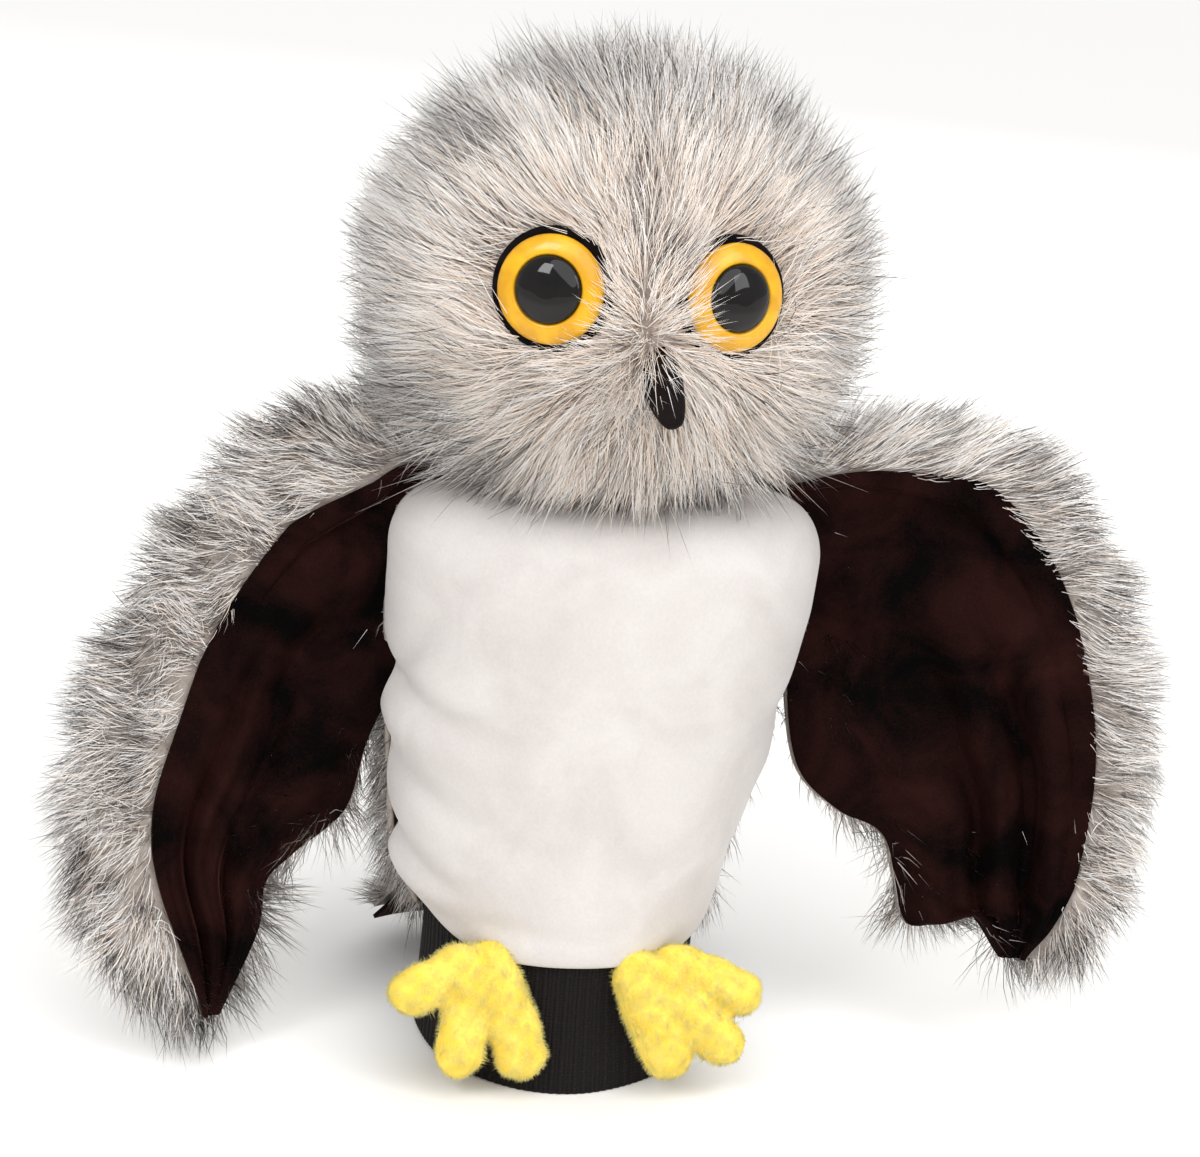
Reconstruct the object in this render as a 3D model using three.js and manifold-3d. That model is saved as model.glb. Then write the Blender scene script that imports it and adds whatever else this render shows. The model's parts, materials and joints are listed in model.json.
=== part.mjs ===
// Owl glove puppet: a fur and velour glove with a stuffed head, two finger wings, two feet and a tail.
// Millimetres, +Z up, the owl faces -Y. Left and right are the owl's own, so left is +X.
import * as THREE from 'three';
import { mergeVertices } from 'three/addons/utils/BufferGeometryUtils.js';
import Module from 'manifold-3d';

const wasm = await Module();
wasm.setup();

// ---- driving dimensions ----
const fitGap = 0.4; // between pieces that touch

const hemHeight = 38; // lower edge of the belly and back, above the table
const bodyHeight = 127; // hem to neck opening
const shoulderRound = 25; // height over which the shoulders close in
const chestBelowTop = 35; // widest place, below the neck opening
const hemHalfWidth = 42;
const hemHalfDepth = 38;
const chestHalfWidth = 58;
const chestHalfDepth = 42;
const shoulderTaper = 0.44; // share of the width lost between shoulder and neck opening
const velourThickness = 2;
const furPile = 5; // pile that stands outside the back cloth
const liningThickness = 1;
const liningEase = 2.2; // slack between the outer cloth and the lining
const liningBelowTop = 7;

const cuffThickness = 2.4;
const cuffTuck = 8; // length of cuff inside the hem
const cuffFlare = 1.2;
const cuffEase = 0.8; // slack between the hem and the cuff tucked into it

const neckRadius = 16.2;
const neckThickness = 1.2;
const neckInset = 5; // length of the neck sleeve inside the body
const nodRoom = 5.8; // between the neck sleeve and the hole in the head

const headGap = 8; // body top to the bottom of the head
const headForward = 3;
const headInner = new THREE.Vector3(52, 47, 45); // half sizes of the stuffed ball
const headPile = 9; // backing cloth and pile
const pocketRadius = 11.5;
const pocketThickness = 1.4;
const pocketDepth = 58.5;
const headBaseThickness = 1.5;

const eyeRadius = 14;
const eyeSpacing = 44;
const eyeRise = 7.5; // above the head centre
const eyeBackingRadius = 15.6;
const eyeBackingThickness = 1.2;
const irisHeight = 6; // from its flat back to the lip round the pupil
const pupilRadius = 9;
const shankRadius = 2.5;
const shankLength = 10;
const washerRadius = 8.5;
const washerThickness = 1.5;

const beakRadius = 5.6;
const beakLength = 22;
const beakWall = 1.2;
const beakPitch = 64; // degrees below level
const beakDrop = 8; // root of the beak below the head centre
const beakAside = 4; // towards the left wing, as it is sewn
const beakLean = 9; // degrees that its tip leans the same way
const beakProud = 6; // root of the beak in front of the stuffed ball

const wingGap = 2; // wing hinge outside the chest
const wingBelowTop = 7; // wing hinge below the neck opening
const wingReach = 90;
const wingDrop = 132;
const wingSweep = 18; // how far the outer edge comes forward
const wingCup = 18; // how far the lower edge comes forward
const wingRootBack = 4;
const wingFurThickness = 5;
const wingLiningThickness = 1.4;
const foldShare = 4 / 6; // where the wing folds, from shoulder to tip
const foldGap = 0.012; // half the gap between inner wing and tip, as a share of the length
const restDroop = { left: 0, right: 9 }; // degrees

const footLength = 35;
const toeRadius = 6.2;
const toeSpread = 36;
const footRootHalfWidth = 14;
const footCloth = 2.6;
const footFill = 4;
const footOffset = { left: 20, right: 25 }; // middle of the foot's root from the centre line
const footYaw = 17; // degrees that the foot faces outwards
const footSlack = 1.4; // between the foot's root and the hem
const footTurnOut = { left: 38, right: 24 };
const footKick = 12; // degrees that the toes stand out from the cuff

const tailLength = 40;
const tailRootHalfWidth = 36;
const tailTipHalfWidth = 51;
const tailSlope = 36; // degrees out from straight down
const tailWrap = 14; // how far its sides come forward
const tailFurThickness = 5;
const tailLiningThickness = 1.5;
const tailSlack = 2; // between its root and the back fur

const centring = new THREE.Vector3(-4.4, -2.4, 0); // brings the origin under the middle of the whole puppet

// ---- places that follow from them ----
const bodyTop = hemHeight + bodyHeight;
const shoulderHeight = bodyTop - shoulderRound;
const chestHeight = bodyTop - chestBelowTop;
const headBottom = bodyTop + headGap;
const headCentre = new THREE.Vector3(0, -headForward, headBottom + headPile + headInner.z);
const neckHoleRadius = neckRadius + nodRoom;
const headBaseHeight = headBottom + headPile - 1;
const pocketBottom = headBaseHeight - headBaseThickness;
const pocketTop = pocketBottom + pocketDepth;

const degrees = Math.PI / 180;
const mix = THREE.MathUtils.lerp;
const sides = { left: 1, right: -1 };

// ---- materials ----
const finish = (color, roughness, metalness = 0) => () => (
  new THREE.MeshStandardMaterial({ color, roughness, metalness }));
const greyFur = finish(0xb8aea8, 0.95);
const faceFur = finish(0xcfc1b8, 0.95);
const whiteVelour = finish(0xefebe8, 0.9);
const brownVelour = finish(0x1d1112, 0.85);
const blackKnit = finish(0x120e0f, 0.9);
const liningCloth = finish(0x1a1718, 0.9);
const blackVelour = finish(0x231a1c, 0.85);
const yellowPlush = finish(0xf3d352, 0.92);
const fibre = finish(0xf1efea, 1);
const yellowPlastic = finish(0xd9a21a, 0.25);
const blackPlastic = finish(0x0d0b0b, 0.12);
const clearPlastic = finish(0xdedede, 0.35);

// ---- helpers ----
const puppet = new THREE.Group();

function signedVolume(geometry) {
  const p = geometry.attributes.position;
  const index = geometry.index;
  const a = new THREE.Vector3();
  const b = new THREE.Vector3();
  const c = new THREE.Vector3();
  let sum = 0;
  for (let i = 0; i < index.count; i += 3) {
    a.fromBufferAttribute(p, index.getX(i));
    b.fromBufferAttribute(p, index.getX(i + 1));
    c.fromBufferAttribute(p, index.getX(i + 2));
    sum += a.dot(b.cross(c));
  }
  return sum / 6;
}

// Merges shared vertices and turns a body that is inside out.
function closed(geometry) {
  const bare = geometry.clone();
  bare.deleteAttribute('normal');
  bare.deleteAttribute('uv');
  const merged = mergeVertices(bare, 1e-5);
  if (signedVolume(merged) < 0) {
    const order = Array.from(merged.index.array);
    for (let i = 0; i < order.length; i += 3) order.splice(i, 3, order[i], order[i + 2], order[i + 1]);
    merged.setIndex(order);
  }
  return merged;
}

// A slab of cloth: place(u, v, w) gives the point at u across, v along and w through it, each from 0 to 1.
function slab(across, along, place) {
  const box = new THREE.BoxGeometry(1, 1, 1, across, along, 1);
  const p = box.attributes.position;
  for (let i = 0; i < p.count; i += 1) {
    const q = place(p.getX(i) + 0.5, p.getY(i) + 0.5, p.getZ(i) + 0.5);
    p.setXYZ(i, q.x, q.y, q.z);
  }
  return closed(box);
}

// A closed sleeve with an oval plan: half(z) gives the outer half width and half depth at each height.
function sleeve(bottom, top, steps, thickness, half, around = 32) {
  const profile = [];
  for (let i = 0; i <= steps; i += 1) profile.push(new THREE.Vector2(0, mix(bottom, top, i / steps)));
  for (let i = steps; i >= 0; i -= 1) profile.push(new THREE.Vector2(thickness, mix(bottom, top, i / steps)));
  profile.push(profile[0].clone());
  const turned = new THREE.LatheGeometry(profile, around);
  const p = turned.attributes.position;
  for (let i = 0; i < p.count; i += 1) {
    const station = profile[i % profile.length];
    const angle = Math.floor(i / profile.length) % around / around * 2 * Math.PI;
    const [a, b] = half(station.y);
    p.setXYZ(i, (a - station.x) * Math.cos(angle), (b - station.x) * Math.sin(angle), station.y);
  }
  return closed(turned);
}

// A turned body: outline points are [radius, height] on a Z axis, closed by the axis or by its first point.
function turned(outline, around = 20) {
  const points = outline.map(([r, h]) => new THREE.Vector2(r, h));
  return closed(new THREE.LatheGeometry(points, around).rotateX(Math.PI / 2));
}

const rod = (radius, bottom, top, around = 24) => (
  turned([[0, bottom], [radius, bottom], [radius, top], [0, top]], around));
const hoop = (inner, outer, bottom, top, around = 20) => (
  turned([[inner, bottom], [outer, bottom], [outer, top], [inner, top], [inner, bottom]], around));

function solid(geometry) {
  const body = closed(geometry);
  const vertProperties = new Float32Array(body.attributes.position.array);
  const triVerts = new Uint32Array(body.index.array);
  return new wasm.Manifold(new wasm.Mesh({ numProp: 3, vertProperties, triVerts }));
}

function fromSolid(body) {
  const mesh = body.getMesh();
  const geometry = new THREE.BufferGeometry();
  geometry.setAttribute('position', new THREE.BufferAttribute(new Float32Array(mesh.vertProperties), 3));
  geometry.setIndex(new THREE.BufferAttribute(new Uint32Array(mesh.triVerts), 1));
  return geometry;
}

function add(name, geometry, material, parent = puppet) {
  const mesh = new THREE.Mesh(geometry, material());
  mesh.name = name;
  parent.add(mesh);
}

// ---- body ----
// Outer half width and half depth of the body at a height.
function bodyHalf(z) {
  const rise = THREE.MathUtils.clamp((z - hemHeight) / (chestHeight - hemHeight), 0, 1);
  const swell = Math.sin(rise * Math.PI / 2);
  const round = Math.max(0, (z - shoulderHeight) / (bodyTop - shoulderHeight));
  const close = 1 - shoulderTaper * round * round;
  return [mix(hemHalfWidth, chestHalfWidth, swell) * close, mix(hemHalfDepth, chestHalfDepth, swell) * close];
}

const seamAngle = fitGap / chestHalfWidth;

function halfBody(start, grow) {
  return slab(16, 12, (u, v, w) => {
    const angle = start + mix(seamAngle, Math.PI - seamAngle, u);
    const z = mix(hemHeight, bodyTop, v);
    const [a, b] = bodyHalf(z);
    const out = mix(-velourThickness, grow * Math.abs(Math.sin(angle)), w);
    return new THREE.Vector3((a + out) * Math.cos(angle), (b + out) * Math.sin(angle), z);
  });
}

function makeBody() {
  add('belly_panel', halfBody(Math.PI, 0), whiteVelour);
  add('back_panel', halfBody(0, furPile), greyFur);
  const inner = velourThickness + liningEase;
  const cuffTop = hemHeight + cuffTuck;
  const liningHalf = (z) => bodyHalf(z).map((half) => half - inner);
  add('body_lining', sleeve(cuffTop + fitGap, bodyTop - liningBelowTop, 8, liningThickness, liningHalf, 24), liningCloth);
  const cuffHalf = (z) => {
    const flare = cuffFlare * Math.max(0, 1 - z / (hemHeight - cuffTuck));
    const tuck = velourThickness + cuffEase - flare;
    return [hemHalfWidth - tuck, hemHalfDepth - tuck];
  };
  add('cuff', sleeve(0, cuffTop, 3, cuffThickness, cuffHalf), blackKnit);
  const neckHalf = () => [neckRadius, neckRadius];
  add('neck_sleeve', sleeve(bodyTop - neckInset, headBottom + 1, 2, neckThickness, neckHalf, 24), liningCloth);
}

// ---- head ----
const ball = (half) => solid(new THREE.SphereGeometry(1, 28, 16).rotateX(Math.PI / 2)
  .scale(half.x, half.y, half.z).translate(headCentre.x, headCentre.y, headCentre.z));
const headOuter = headInner.clone().addScalar(headPile);

// The eye's seat on the stuffed ball, with its axis square to the ball.
function eyeSeat(side) {
  const x = side * eyeSpacing / 2;
  const y = -headInner.y * Math.sqrt(1 - (x / headInner.x) ** 2 - (eyeRise / headInner.z) ** 2);
  const out = new THREE.Vector3(x, y, eyeRise).divide(headInner).divide(headInner).normalize();
  const seat = new THREE.Group();
  seat.position.set(x, y, eyeRise).add(headCentre).addScaledVector(out, 1.8);
  seat.quaternion.setFromUnitVectors(new THREE.Vector3(0, 0, 1), out);
  seat.updateMatrix();
  return seat;
}

function beakSeat() {
  const seat = new THREE.Group();
  seat.position.set(beakAside, -headInner.y - beakProud, -beakDrop).add(headCentre);
  seat.rotation.order = 'YXZ';
  seat.rotation.set((90 + beakPitch) * degrees, -beakLean * degrees, 0);
  seat.updateMatrix();
  return seat;
}

const placed = (geometry, seat) => solid(geometry.applyMatrix4(seat.matrix));

function makeHead() {
  const seats = [eyeSeat(1), eyeSeat(-1)];
  const beak = beakSeat();
  const hole = (radius, bottom, top) => solid(rod(radius, bottom, top));
  let shell = ball(headOuter).subtract(ball(headInner));
  shell = shell.subtract(hole(neckHoleRadius, 0, headCentre.z));
  let fill = ball(headInner.clone().addScalar(-fitGap));
  fill = fill.subtract(hole(neckHoleRadius + 8, 0, headBaseHeight + headBaseThickness + fitGap));
  fill = fill.subtract(hole(pocketRadius + fitGap, 0, pocketTop + fitGap));
  for (const seat of seats) {
    shell = shell.subtract(placed(rod(eyeBackingRadius + fitGap, -0.3, 30), seat));
    shell = shell.subtract(placed(rod(shankRadius + fitGap, -20, 30, 12), seat));
    fill = fill.subtract(placed(rod(washerRadius + fitGap, -shankLength, 10), seat));
  }
  shell = shell.subtract(placed(rod(beakRadius + fitGap, -1 - fitGap, 30, 16), beak));
  const quarters = { face_panel: -1, head_back: 1 };
  for (const [name, front] of Object.entries(quarters)) {
    for (const [side, sign] of Object.entries(sides)) {
      const size = 100;
      const middle = size / 2 + fitGap / 2;
      const block = new THREE.BoxGeometry(size, size, 3 * size);
      block.translate(sign * middle, headCentre.y + front * middle, headCentre.z);
      add(`${name}_${side}`, fromSolid(shell.intersect(solid(block))), front < 0 ? faceFur : greyFur);
    }
  }
  add('head_stuffing', fromSolid(fill), fibre);
  const baseTop = headBaseHeight + headBaseThickness;
  const baseIn = pocketRadius + fitGap;
  const baseOut = neckHoleRadius - fitGap;
  add('head_base', hoop(baseIn, baseOut, headBaseHeight, baseTop, 24), liningCloth);
  const inside = pocketRadius - pocketThickness;
  const ceiling = pocketTop - pocketThickness;
  const pocket = [[inside, pocketBottom], [pocketRadius, pocketBottom], [pocketRadius, pocketTop],
    [0, pocketTop], [0, ceiling], [inside, ceiling], [inside, pocketBottom]];
  add('head_finger_pocket', turned(pocket, 20), liningCloth);
  Object.keys(sides).forEach((side, i) => makeEye(side, seats[i]));
  makeBeak(beak);
}

function makeEye(side, seat) {
  puppet.add(seat);
  const hole = shankRadius + fitGap;
  const irisBack = eyeBackingThickness + fitGap;
  const lip = irisBack + irisHeight;
  const pupilSeat = lip - 1.4;
  const washerTop = -3.4;
  add(`eye_backing_${side}`, hoop(hole, eyeBackingRadius, 0, eyeBackingThickness), blackPlastic, seat);
  const slope = (across, up) => [mix(pupilRadius, eyeRadius, across), mix(irisBack, lip, up)];
  const iris = [[0, 0.5 - shankLength], [shankRadius, 0.5 - shankLength], [shankRadius, irisBack],
    [eyeRadius, irisBack], slope(1, 0.27), slope(0.75, 0.6), slope(0.4, 0.88), [pupilRadius + fitGap, lip],
    [pupilRadius + fitGap, pupilSeat - fitGap], [0, pupilSeat - fitGap]];
  add(`eye_iris_${side}`, turned(iris), yellowPlastic, seat);
  const pupil = [[0, pupilSeat], [pupilRadius, pupilSeat], [pupilRadius, lip - 0.2]];
  for (let i = 1; i <= 4; i += 1) {
    const angle = i / 4 * Math.PI / 2;
    pupil.push([pupilRadius * Math.cos(angle), lip - 0.2 + 2.6 * Math.sin(angle)]);
  }
  pupil[pupil.length - 1][0] = 0;
  add(`eye_pupil_${side}`, turned(pupil), blackPlastic, seat);
  const washer = hoop(hole, washerRadius, washerTop - washerThickness, washerTop);
  add(`eye_washer_${side}`, washer, clearPlastic, seat);
}

function makeBeak(seat) {
  puppet.add(seat);
  const outline = (grow) => {
    const points = [];
    for (let i = 0; i <= 6; i += 1) {
      const share = i / 6;
      const radius = (beakRadius + grow) * Math.sqrt(1 - share ** 2.4);
      points.push([i === 6 ? 0 : radius, share * (beakLength + grow)]);
    }
    return points;
  };
  const inner = outline(-beakWall).reverse();
  add('beak_cover', turned([...outline(0), ...inner, outline(0)[0]], 16), blackVelour, seat);
  add('beak_stuffing', turned([[0, 0.5], ...outline(-beakWall - fitGap).map(([r, h]) => [r, h + 0.5])
    .filter(([, h]) => h < beakLength - 2.2), [0, beakLength - 2.2]], 16), fibre, seat);
}

// ---- wings ----
// Edges of the wing from shoulder to tip, as shares of its reach outwards and its drop.
const edge = (shares) => (
  new THREE.SplineCurve(shares.map(([x, z]) => new THREE.Vector2(x * wingReach, z * wingDrop))));
const leadingEdge = edge([[0.06, 0.19], [0.33, 0.235], [0.67, 0.15], [0.89, -0.06], [1, -0.34], [0.98, -0.67],
  [0.82, -1]]);
const trailingEdge = edge([[0.06, -0.02], [0.12, -0.14], [0.18, -0.26], [0.23, -0.37], [0.28, -0.48],
  [0.35, -0.76], [0.58, -1]]);

function wingDepth(x, z) {
  return wingRootBack - wingSweep * (x / wingReach) ** 2 - wingCup * Math.min(0, z / wingDrop) ** 2;
}

// A layer of the wing between two shares of its width and of its length, and between two depths.
function wingLayer(side, across, along, rows, depth) {
  return slab(8, rows, (u, v, w) => {
    const length = mix(along[0], along[1], v);
    const low = trailingEdge.getPoint(length);
    const high = leadingEdge.getPoint(length);
    const p = low.lerp(high, mix(across[0], across[1], u));
    return new THREE.Vector3(side * p.x, wingDepth(p.x, p.y) + mix(depth[0], depth[1], w), p.y);
  });
}

function makeWing(name, side) {
  const wing = new THREE.Group();
  wing.position.set(side * (chestHalfWidth + wingGap), 0, bodyTop - wingBelowTop);
  wing.rotation.y = side * restDroop[name] * degrees;
  puppet.add(wing);
  const inner = [0, foldShare - foldGap];
  const tip = [foldShare + foldGap, 1];
  const liningTip = [foldShare + foldGap, 0.95];
  const furDepth = [0, wingFurThickness];
  const liningDepth = [-fitGap - wingLiningThickness, -fitGap];
  add(`wing_${name}_fur`, wingLayer(side, [0, 1], inner, 9, furDepth), greyFur, wing);
  add(`wing_${name}_lining`, wingLayer(side, [0.04, 0.86], inner, 9, liningDepth), brownVelour, wing);
  add(`wing_${name}_tip_fur`, wingLayer(side, [0, 1], tip, 6, furDepth), greyFur, wing);
  add(`wing_${name}_tip_lining`, wingLayer(side, [0.06, 0.84], liningTip, 6, liningDepth), brownVelour, wing);
}

// ---- feet ----
// Three round toes on a straight root that hangs from y = 0.
function footShape(turnOut, shrink) {
  const shape = new THREE.Shape();
  const root = footRootHalfWidth - shrink;
  const reach = footLength - toeRadius;
  const radius = toeRadius - shrink;
  shape.moveTo(-root, -shrink);
  for (const toe of [-1, 0, 1]) {
    const angle = (turnOut + toe * toeSpread) * degrees;
    const x = reach * Math.sin(angle);
    const y = -reach * Math.cos(angle);
    shape.absarc(x, y, radius, Math.PI + angle, 2 * Math.PI + angle, false);
    if (toe < 1) {
      const notch = (turnOut + (toe + 0.5) * toeSpread) * degrees;
      const depth = reach * 0.66;
      shape.lineTo(depth * Math.sin(notch), -depth * Math.cos(notch));
    }
  }
  shape.lineTo(root, -shrink);
  return shape;
}

function makeFoot(name, side) {
  const yaw = footYaw * degrees;
  const thick = 2 * footCloth + footFill + 2 * fitGap;
  const innerEnd = footOffset[name] - footRootHalfWidth * Math.cos(yaw);
  const hemDepth = hemHalfDepth * Math.sqrt(1 - (innerEnd / hemHalfWidth) ** 2);
  const foot = new THREE.Group();
  const inFront = hemDepth + footSlack - footRootHalfWidth * Math.sin(yaw);
  foot.position.set(side * footOffset[name], -inFront, hemHeight + 2);
  foot.rotation.order = 'ZXY';
  foot.rotation.set((90 - footKick) * degrees, 0, side * yaw);
  puppet.add(foot);
  const layer = (start, depth, shrink) => {
    const options = { depth, curveSegments: 6, bevelEnabled: false };
    const flat = new THREE.ExtrudeGeometry(footShape(footTurnOut[name], shrink), options);
    return closed(flat.scale(side, 1, 1).translate(0, 0, start));
  };
  const fillStart = footCloth + fitGap;
  add(`foot_${name}_sole`, layer(0, footCloth, 0), yellowPlush, foot);
  add(`foot_${name}_stuffing`, layer(fillStart, footFill, 2.4), fibre, foot);
  add(`foot_${name}_upper`, layer(thick - footCloth, footCloth, 0), yellowPlush, foot);
}

// ---- tail ----
function tailLayer(across, depth) {
  const slope = tailSlope * degrees;
  return slab(12, 5, (u, v, w) => {
    const s = mix(-across, across, u);
    const length = tailLength * v * (1 - 0.18 * s * s * v);
    const out = mix(depth[0], depth[1], w);
    const x = s * mix(tailRootHalfWidth, tailTipHalfWidth, v);
    const y = length * Math.sin(slope) - tailWrap * s * s + out * Math.cos(slope);
    return new THREE.Vector3(x, y, -length * Math.cos(slope) + out * Math.sin(slope));
  });
}

function makeTail() {
  const tail = new THREE.Group();
  tail.position.set(0, hemHalfDepth + furPile + tailSlack, hemHeight - 1.5);
  puppet.add(tail);
  add('tail_fur', tailLayer(1, [0, tailFurThickness]), greyFur, tail);
  add('tail_lining', tailLayer(0.9, [-fitGap - tailLiningThickness, -fitGap]), brownVelour, tail);
}

makeBody();
makeHead();
for (const [name, side] of Object.entries(sides)) {
  makeWing(name, side);
  makeFoot(name, side);
}
makeTail();

puppet.position.copy(centring);
export default puppet;
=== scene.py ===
import json
import math
import bpy
import numpy as np
from mathutils import Matrix, Vector


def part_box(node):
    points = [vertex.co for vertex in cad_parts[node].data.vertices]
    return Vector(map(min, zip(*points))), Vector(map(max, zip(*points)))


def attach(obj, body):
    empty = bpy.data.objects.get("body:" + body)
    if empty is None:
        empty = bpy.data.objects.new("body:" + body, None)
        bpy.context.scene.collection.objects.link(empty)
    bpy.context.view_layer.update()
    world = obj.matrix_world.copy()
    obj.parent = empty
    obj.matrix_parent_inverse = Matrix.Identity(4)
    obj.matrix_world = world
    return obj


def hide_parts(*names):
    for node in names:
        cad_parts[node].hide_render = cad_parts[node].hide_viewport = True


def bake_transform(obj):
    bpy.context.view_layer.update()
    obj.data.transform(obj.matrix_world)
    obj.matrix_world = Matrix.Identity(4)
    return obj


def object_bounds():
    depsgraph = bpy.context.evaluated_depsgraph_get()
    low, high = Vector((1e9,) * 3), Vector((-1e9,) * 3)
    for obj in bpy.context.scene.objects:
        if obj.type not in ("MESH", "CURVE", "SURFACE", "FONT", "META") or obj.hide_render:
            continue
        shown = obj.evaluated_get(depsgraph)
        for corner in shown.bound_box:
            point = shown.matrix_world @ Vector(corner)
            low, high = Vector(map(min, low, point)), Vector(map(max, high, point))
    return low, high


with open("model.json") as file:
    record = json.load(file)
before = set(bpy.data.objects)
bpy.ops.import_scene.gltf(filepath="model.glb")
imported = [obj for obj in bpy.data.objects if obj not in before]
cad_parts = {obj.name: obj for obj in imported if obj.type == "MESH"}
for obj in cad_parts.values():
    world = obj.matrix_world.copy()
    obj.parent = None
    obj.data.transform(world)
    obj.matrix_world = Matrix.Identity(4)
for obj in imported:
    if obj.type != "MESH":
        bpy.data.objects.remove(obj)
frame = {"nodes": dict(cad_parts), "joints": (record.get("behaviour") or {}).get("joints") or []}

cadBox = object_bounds()
mm = 0.001
rng = np.random.default_rng(7)
jointAt = {j["name"]: np.array(j["pos_m"]) for j in frame["joints"]}
cuffLow, cuffHigh = (np.array(c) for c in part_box("cuff"))
bodyCentre = (cuffLow + cuffHigh) / 2  # the glove's own axis, a little off the middle of the box
sides = {"left": 1, "right": -1}


def linear(hexColour):
    channels = [int(hexColour[i:i + 2], 16) / 255 for i in (0, 2, 4)]
    return [c / 12.92 if c <= 0.04045 else ((c + 0.055) / 1.055) ** 2.4 for c in channels] + [1]


def addNode(tree, kind, settings=None, links=None):
    node = tree.nodes.new(kind)
    for key, value in (settings or {}).items():
        if isinstance(key, int) or key in node.inputs:
            node.inputs[key].default_value = value
        else:
            setattr(node, key, value)
    for socket, source in (links or {}).items():
        tree.links.new(source, node.inputs[socket])
    return node


def newMaterial(name, settings):
    material = bpy.data.materials.new(name)
    material.use_nodes = True
    shader = material.node_tree.nodes["Principled BSDF"]
    for key, value in settings.items():
        shader.inputs[key].default_value = value
    return material, material.node_tree, shader


def unit(v):
    return v / np.maximum(np.linalg.norm(v, axis=-1, keepdims=True), 1e-12)


def smoothCurve(points, t):
    # points on a smooth curve through the given points, t from 0 to 1
    p = np.array(points, float)
    p = np.vstack([2 * p[0] - p[1], p, 2 * p[-1] - p[-2]])
    x = np.clip(np.asarray(t, float), 0, 1) * (len(p) - 3)
    i = np.minimum(x.astype(int), len(p) - 4)
    f = (x - i)[..., None]
    a, b, c, d = p[i], p[i + 1], p[i + 2], p[i + 3]
    return 0.5 * (2 * b + (c - a) * f + (2 * a - 5 * b + 4 * c - d) * f ** 2
                  + (3 * b - a - 3 * c + d) * f ** 3)


def clearSelection():
    if bpy.context.mode != "OBJECT":
        bpy.ops.object.mode_set(mode="OBJECT")
    bpy.ops.object.select_all(action="DESELECT")


def makeOnly(piece):
    clearSelection()
    piece.select_set(True)
    bpy.context.view_layer.objects.active = piece


def gridPiece(name, across, along, place):
    # a sheet: a plain grid whose points are moved to place(u, v), with u and v from 0 to 1
    clearSelection()
    bpy.ops.mesh.primitive_grid_add(x_subdivisions=across, y_subdivisions=along, size=2)
    piece = bpy.context.object
    piece.name = name
    flat = np.empty(len(piece.data.vertices) * 3)
    piece.data.vertices.foreach_get("co", flat)
    uv = flat.reshape(-1, 3)[:, :2] / 2 + 0.5
    piece.data.vertices.foreach_set("co", place(uv[:, 0], uv[:, 1]).ravel())
    piece.data.update()
    return piece


def applyModifier(piece, kind, settings):
    makeOnly(piece)
    modifier = piece.modifiers.new(kind.lower(), kind)
    for key, value in settings.items():
        setattr(modifier, key, value)
    bpy.ops.object.modifier_apply(modifier=modifier.name)


def outward(piece):
    makeOnly(piece)
    bpy.ops.object.mode_set(mode="EDIT")
    bpy.ops.mesh.select_all(action="SELECT")
    bpy.ops.mesh.remove_doubles(threshold=1e-6)
    bpy.ops.mesh.normals_make_consistent(inside=False)
    bpy.ops.object.mode_set(mode="OBJECT")


def finishPiece(piece, material, body=None, blend=None, replaces=()):
    piece.data.materials.clear()
    piece.data.materials.append(material)
    makeOnly(piece)
    bpy.ops.object.transform_apply(location=True, rotation=True, scale=True)
    if replaces:
        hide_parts(*replaces)
    if blend:
        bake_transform(piece)
    else:
        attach(piece, body)
    return piece


view = {"distance": 0.900, "azimuth": -9, "elevation": 20, "roll": 5.0, "aim": (-0.001, 0.0, 0.139),
        "lens": 96.9}


def makeCamera():
    azimuth, elevation, roll = (math.radians(view[k]) for k in ("azimuth", "elevation", "roll"))
    forward = Vector((-math.sin(azimuth) * math.cos(elevation), math.cos(azimuth) * math.cos(elevation),
                      -math.sin(elevation)))
    right = Vector((math.cos(azimuth), math.sin(azimuth), 0))
    up = right.cross(forward)
    camera = bpy.data.objects.new("camera", bpy.data.cameras.new("camera"))
    bpy.context.scene.collection.objects.link(camera)
    x = right * math.cos(roll) + up * math.sin(roll)
    y = up * math.cos(roll) - right * math.sin(roll)
    place = Matrix((x, y, -forward)).transposed().to_4x4()
    place.translation = Vector(view["aim"]) - forward * view["distance"]
    camera.matrix_world = place
    camera.data.lens = view["lens"]
    camera.data.sensor_width = 36
    camera.data.clip_start = 0.01
    bpy.context.scene.camera = camera


studio = {  # area lights: place and size in metres, and power in watts
    "world": 0.56, "backdrop": 0.97, "sunPower": 1.75, "sunAngle": 70, "sunDirection": (-0.12, 0.62, -0.75),
    "aimHeight": 0.14, "floorSize": 60, "areas": {
        "windowLeft": ((-0.75, -0.75, 0.95), (0.34, 0.5), 4.4),
        "windowRight": ((0.85, -0.7, 0.75), (0.4, 0.6), 2.4),
        "behindSoft": ((0.3, 0.95, 0.7), (0.9, 0.7), 5.0)}}


def areaLight(name, place, size, power):
    light = bpy.data.objects.new(name, bpy.data.lights.new(name, "AREA"))
    light.data.shape = "RECTANGLE"
    light.data.size, light.data.size_y = size
    light.data.energy = power
    light.location = place
    ahead = Vector((0, 0, studio["aimHeight"])) - Vector(place)
    light.rotation_euler = ahead.to_track_quat("-Z", "Y").to_euler()
    bpy.context.scene.collection.objects.link(light)


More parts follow.
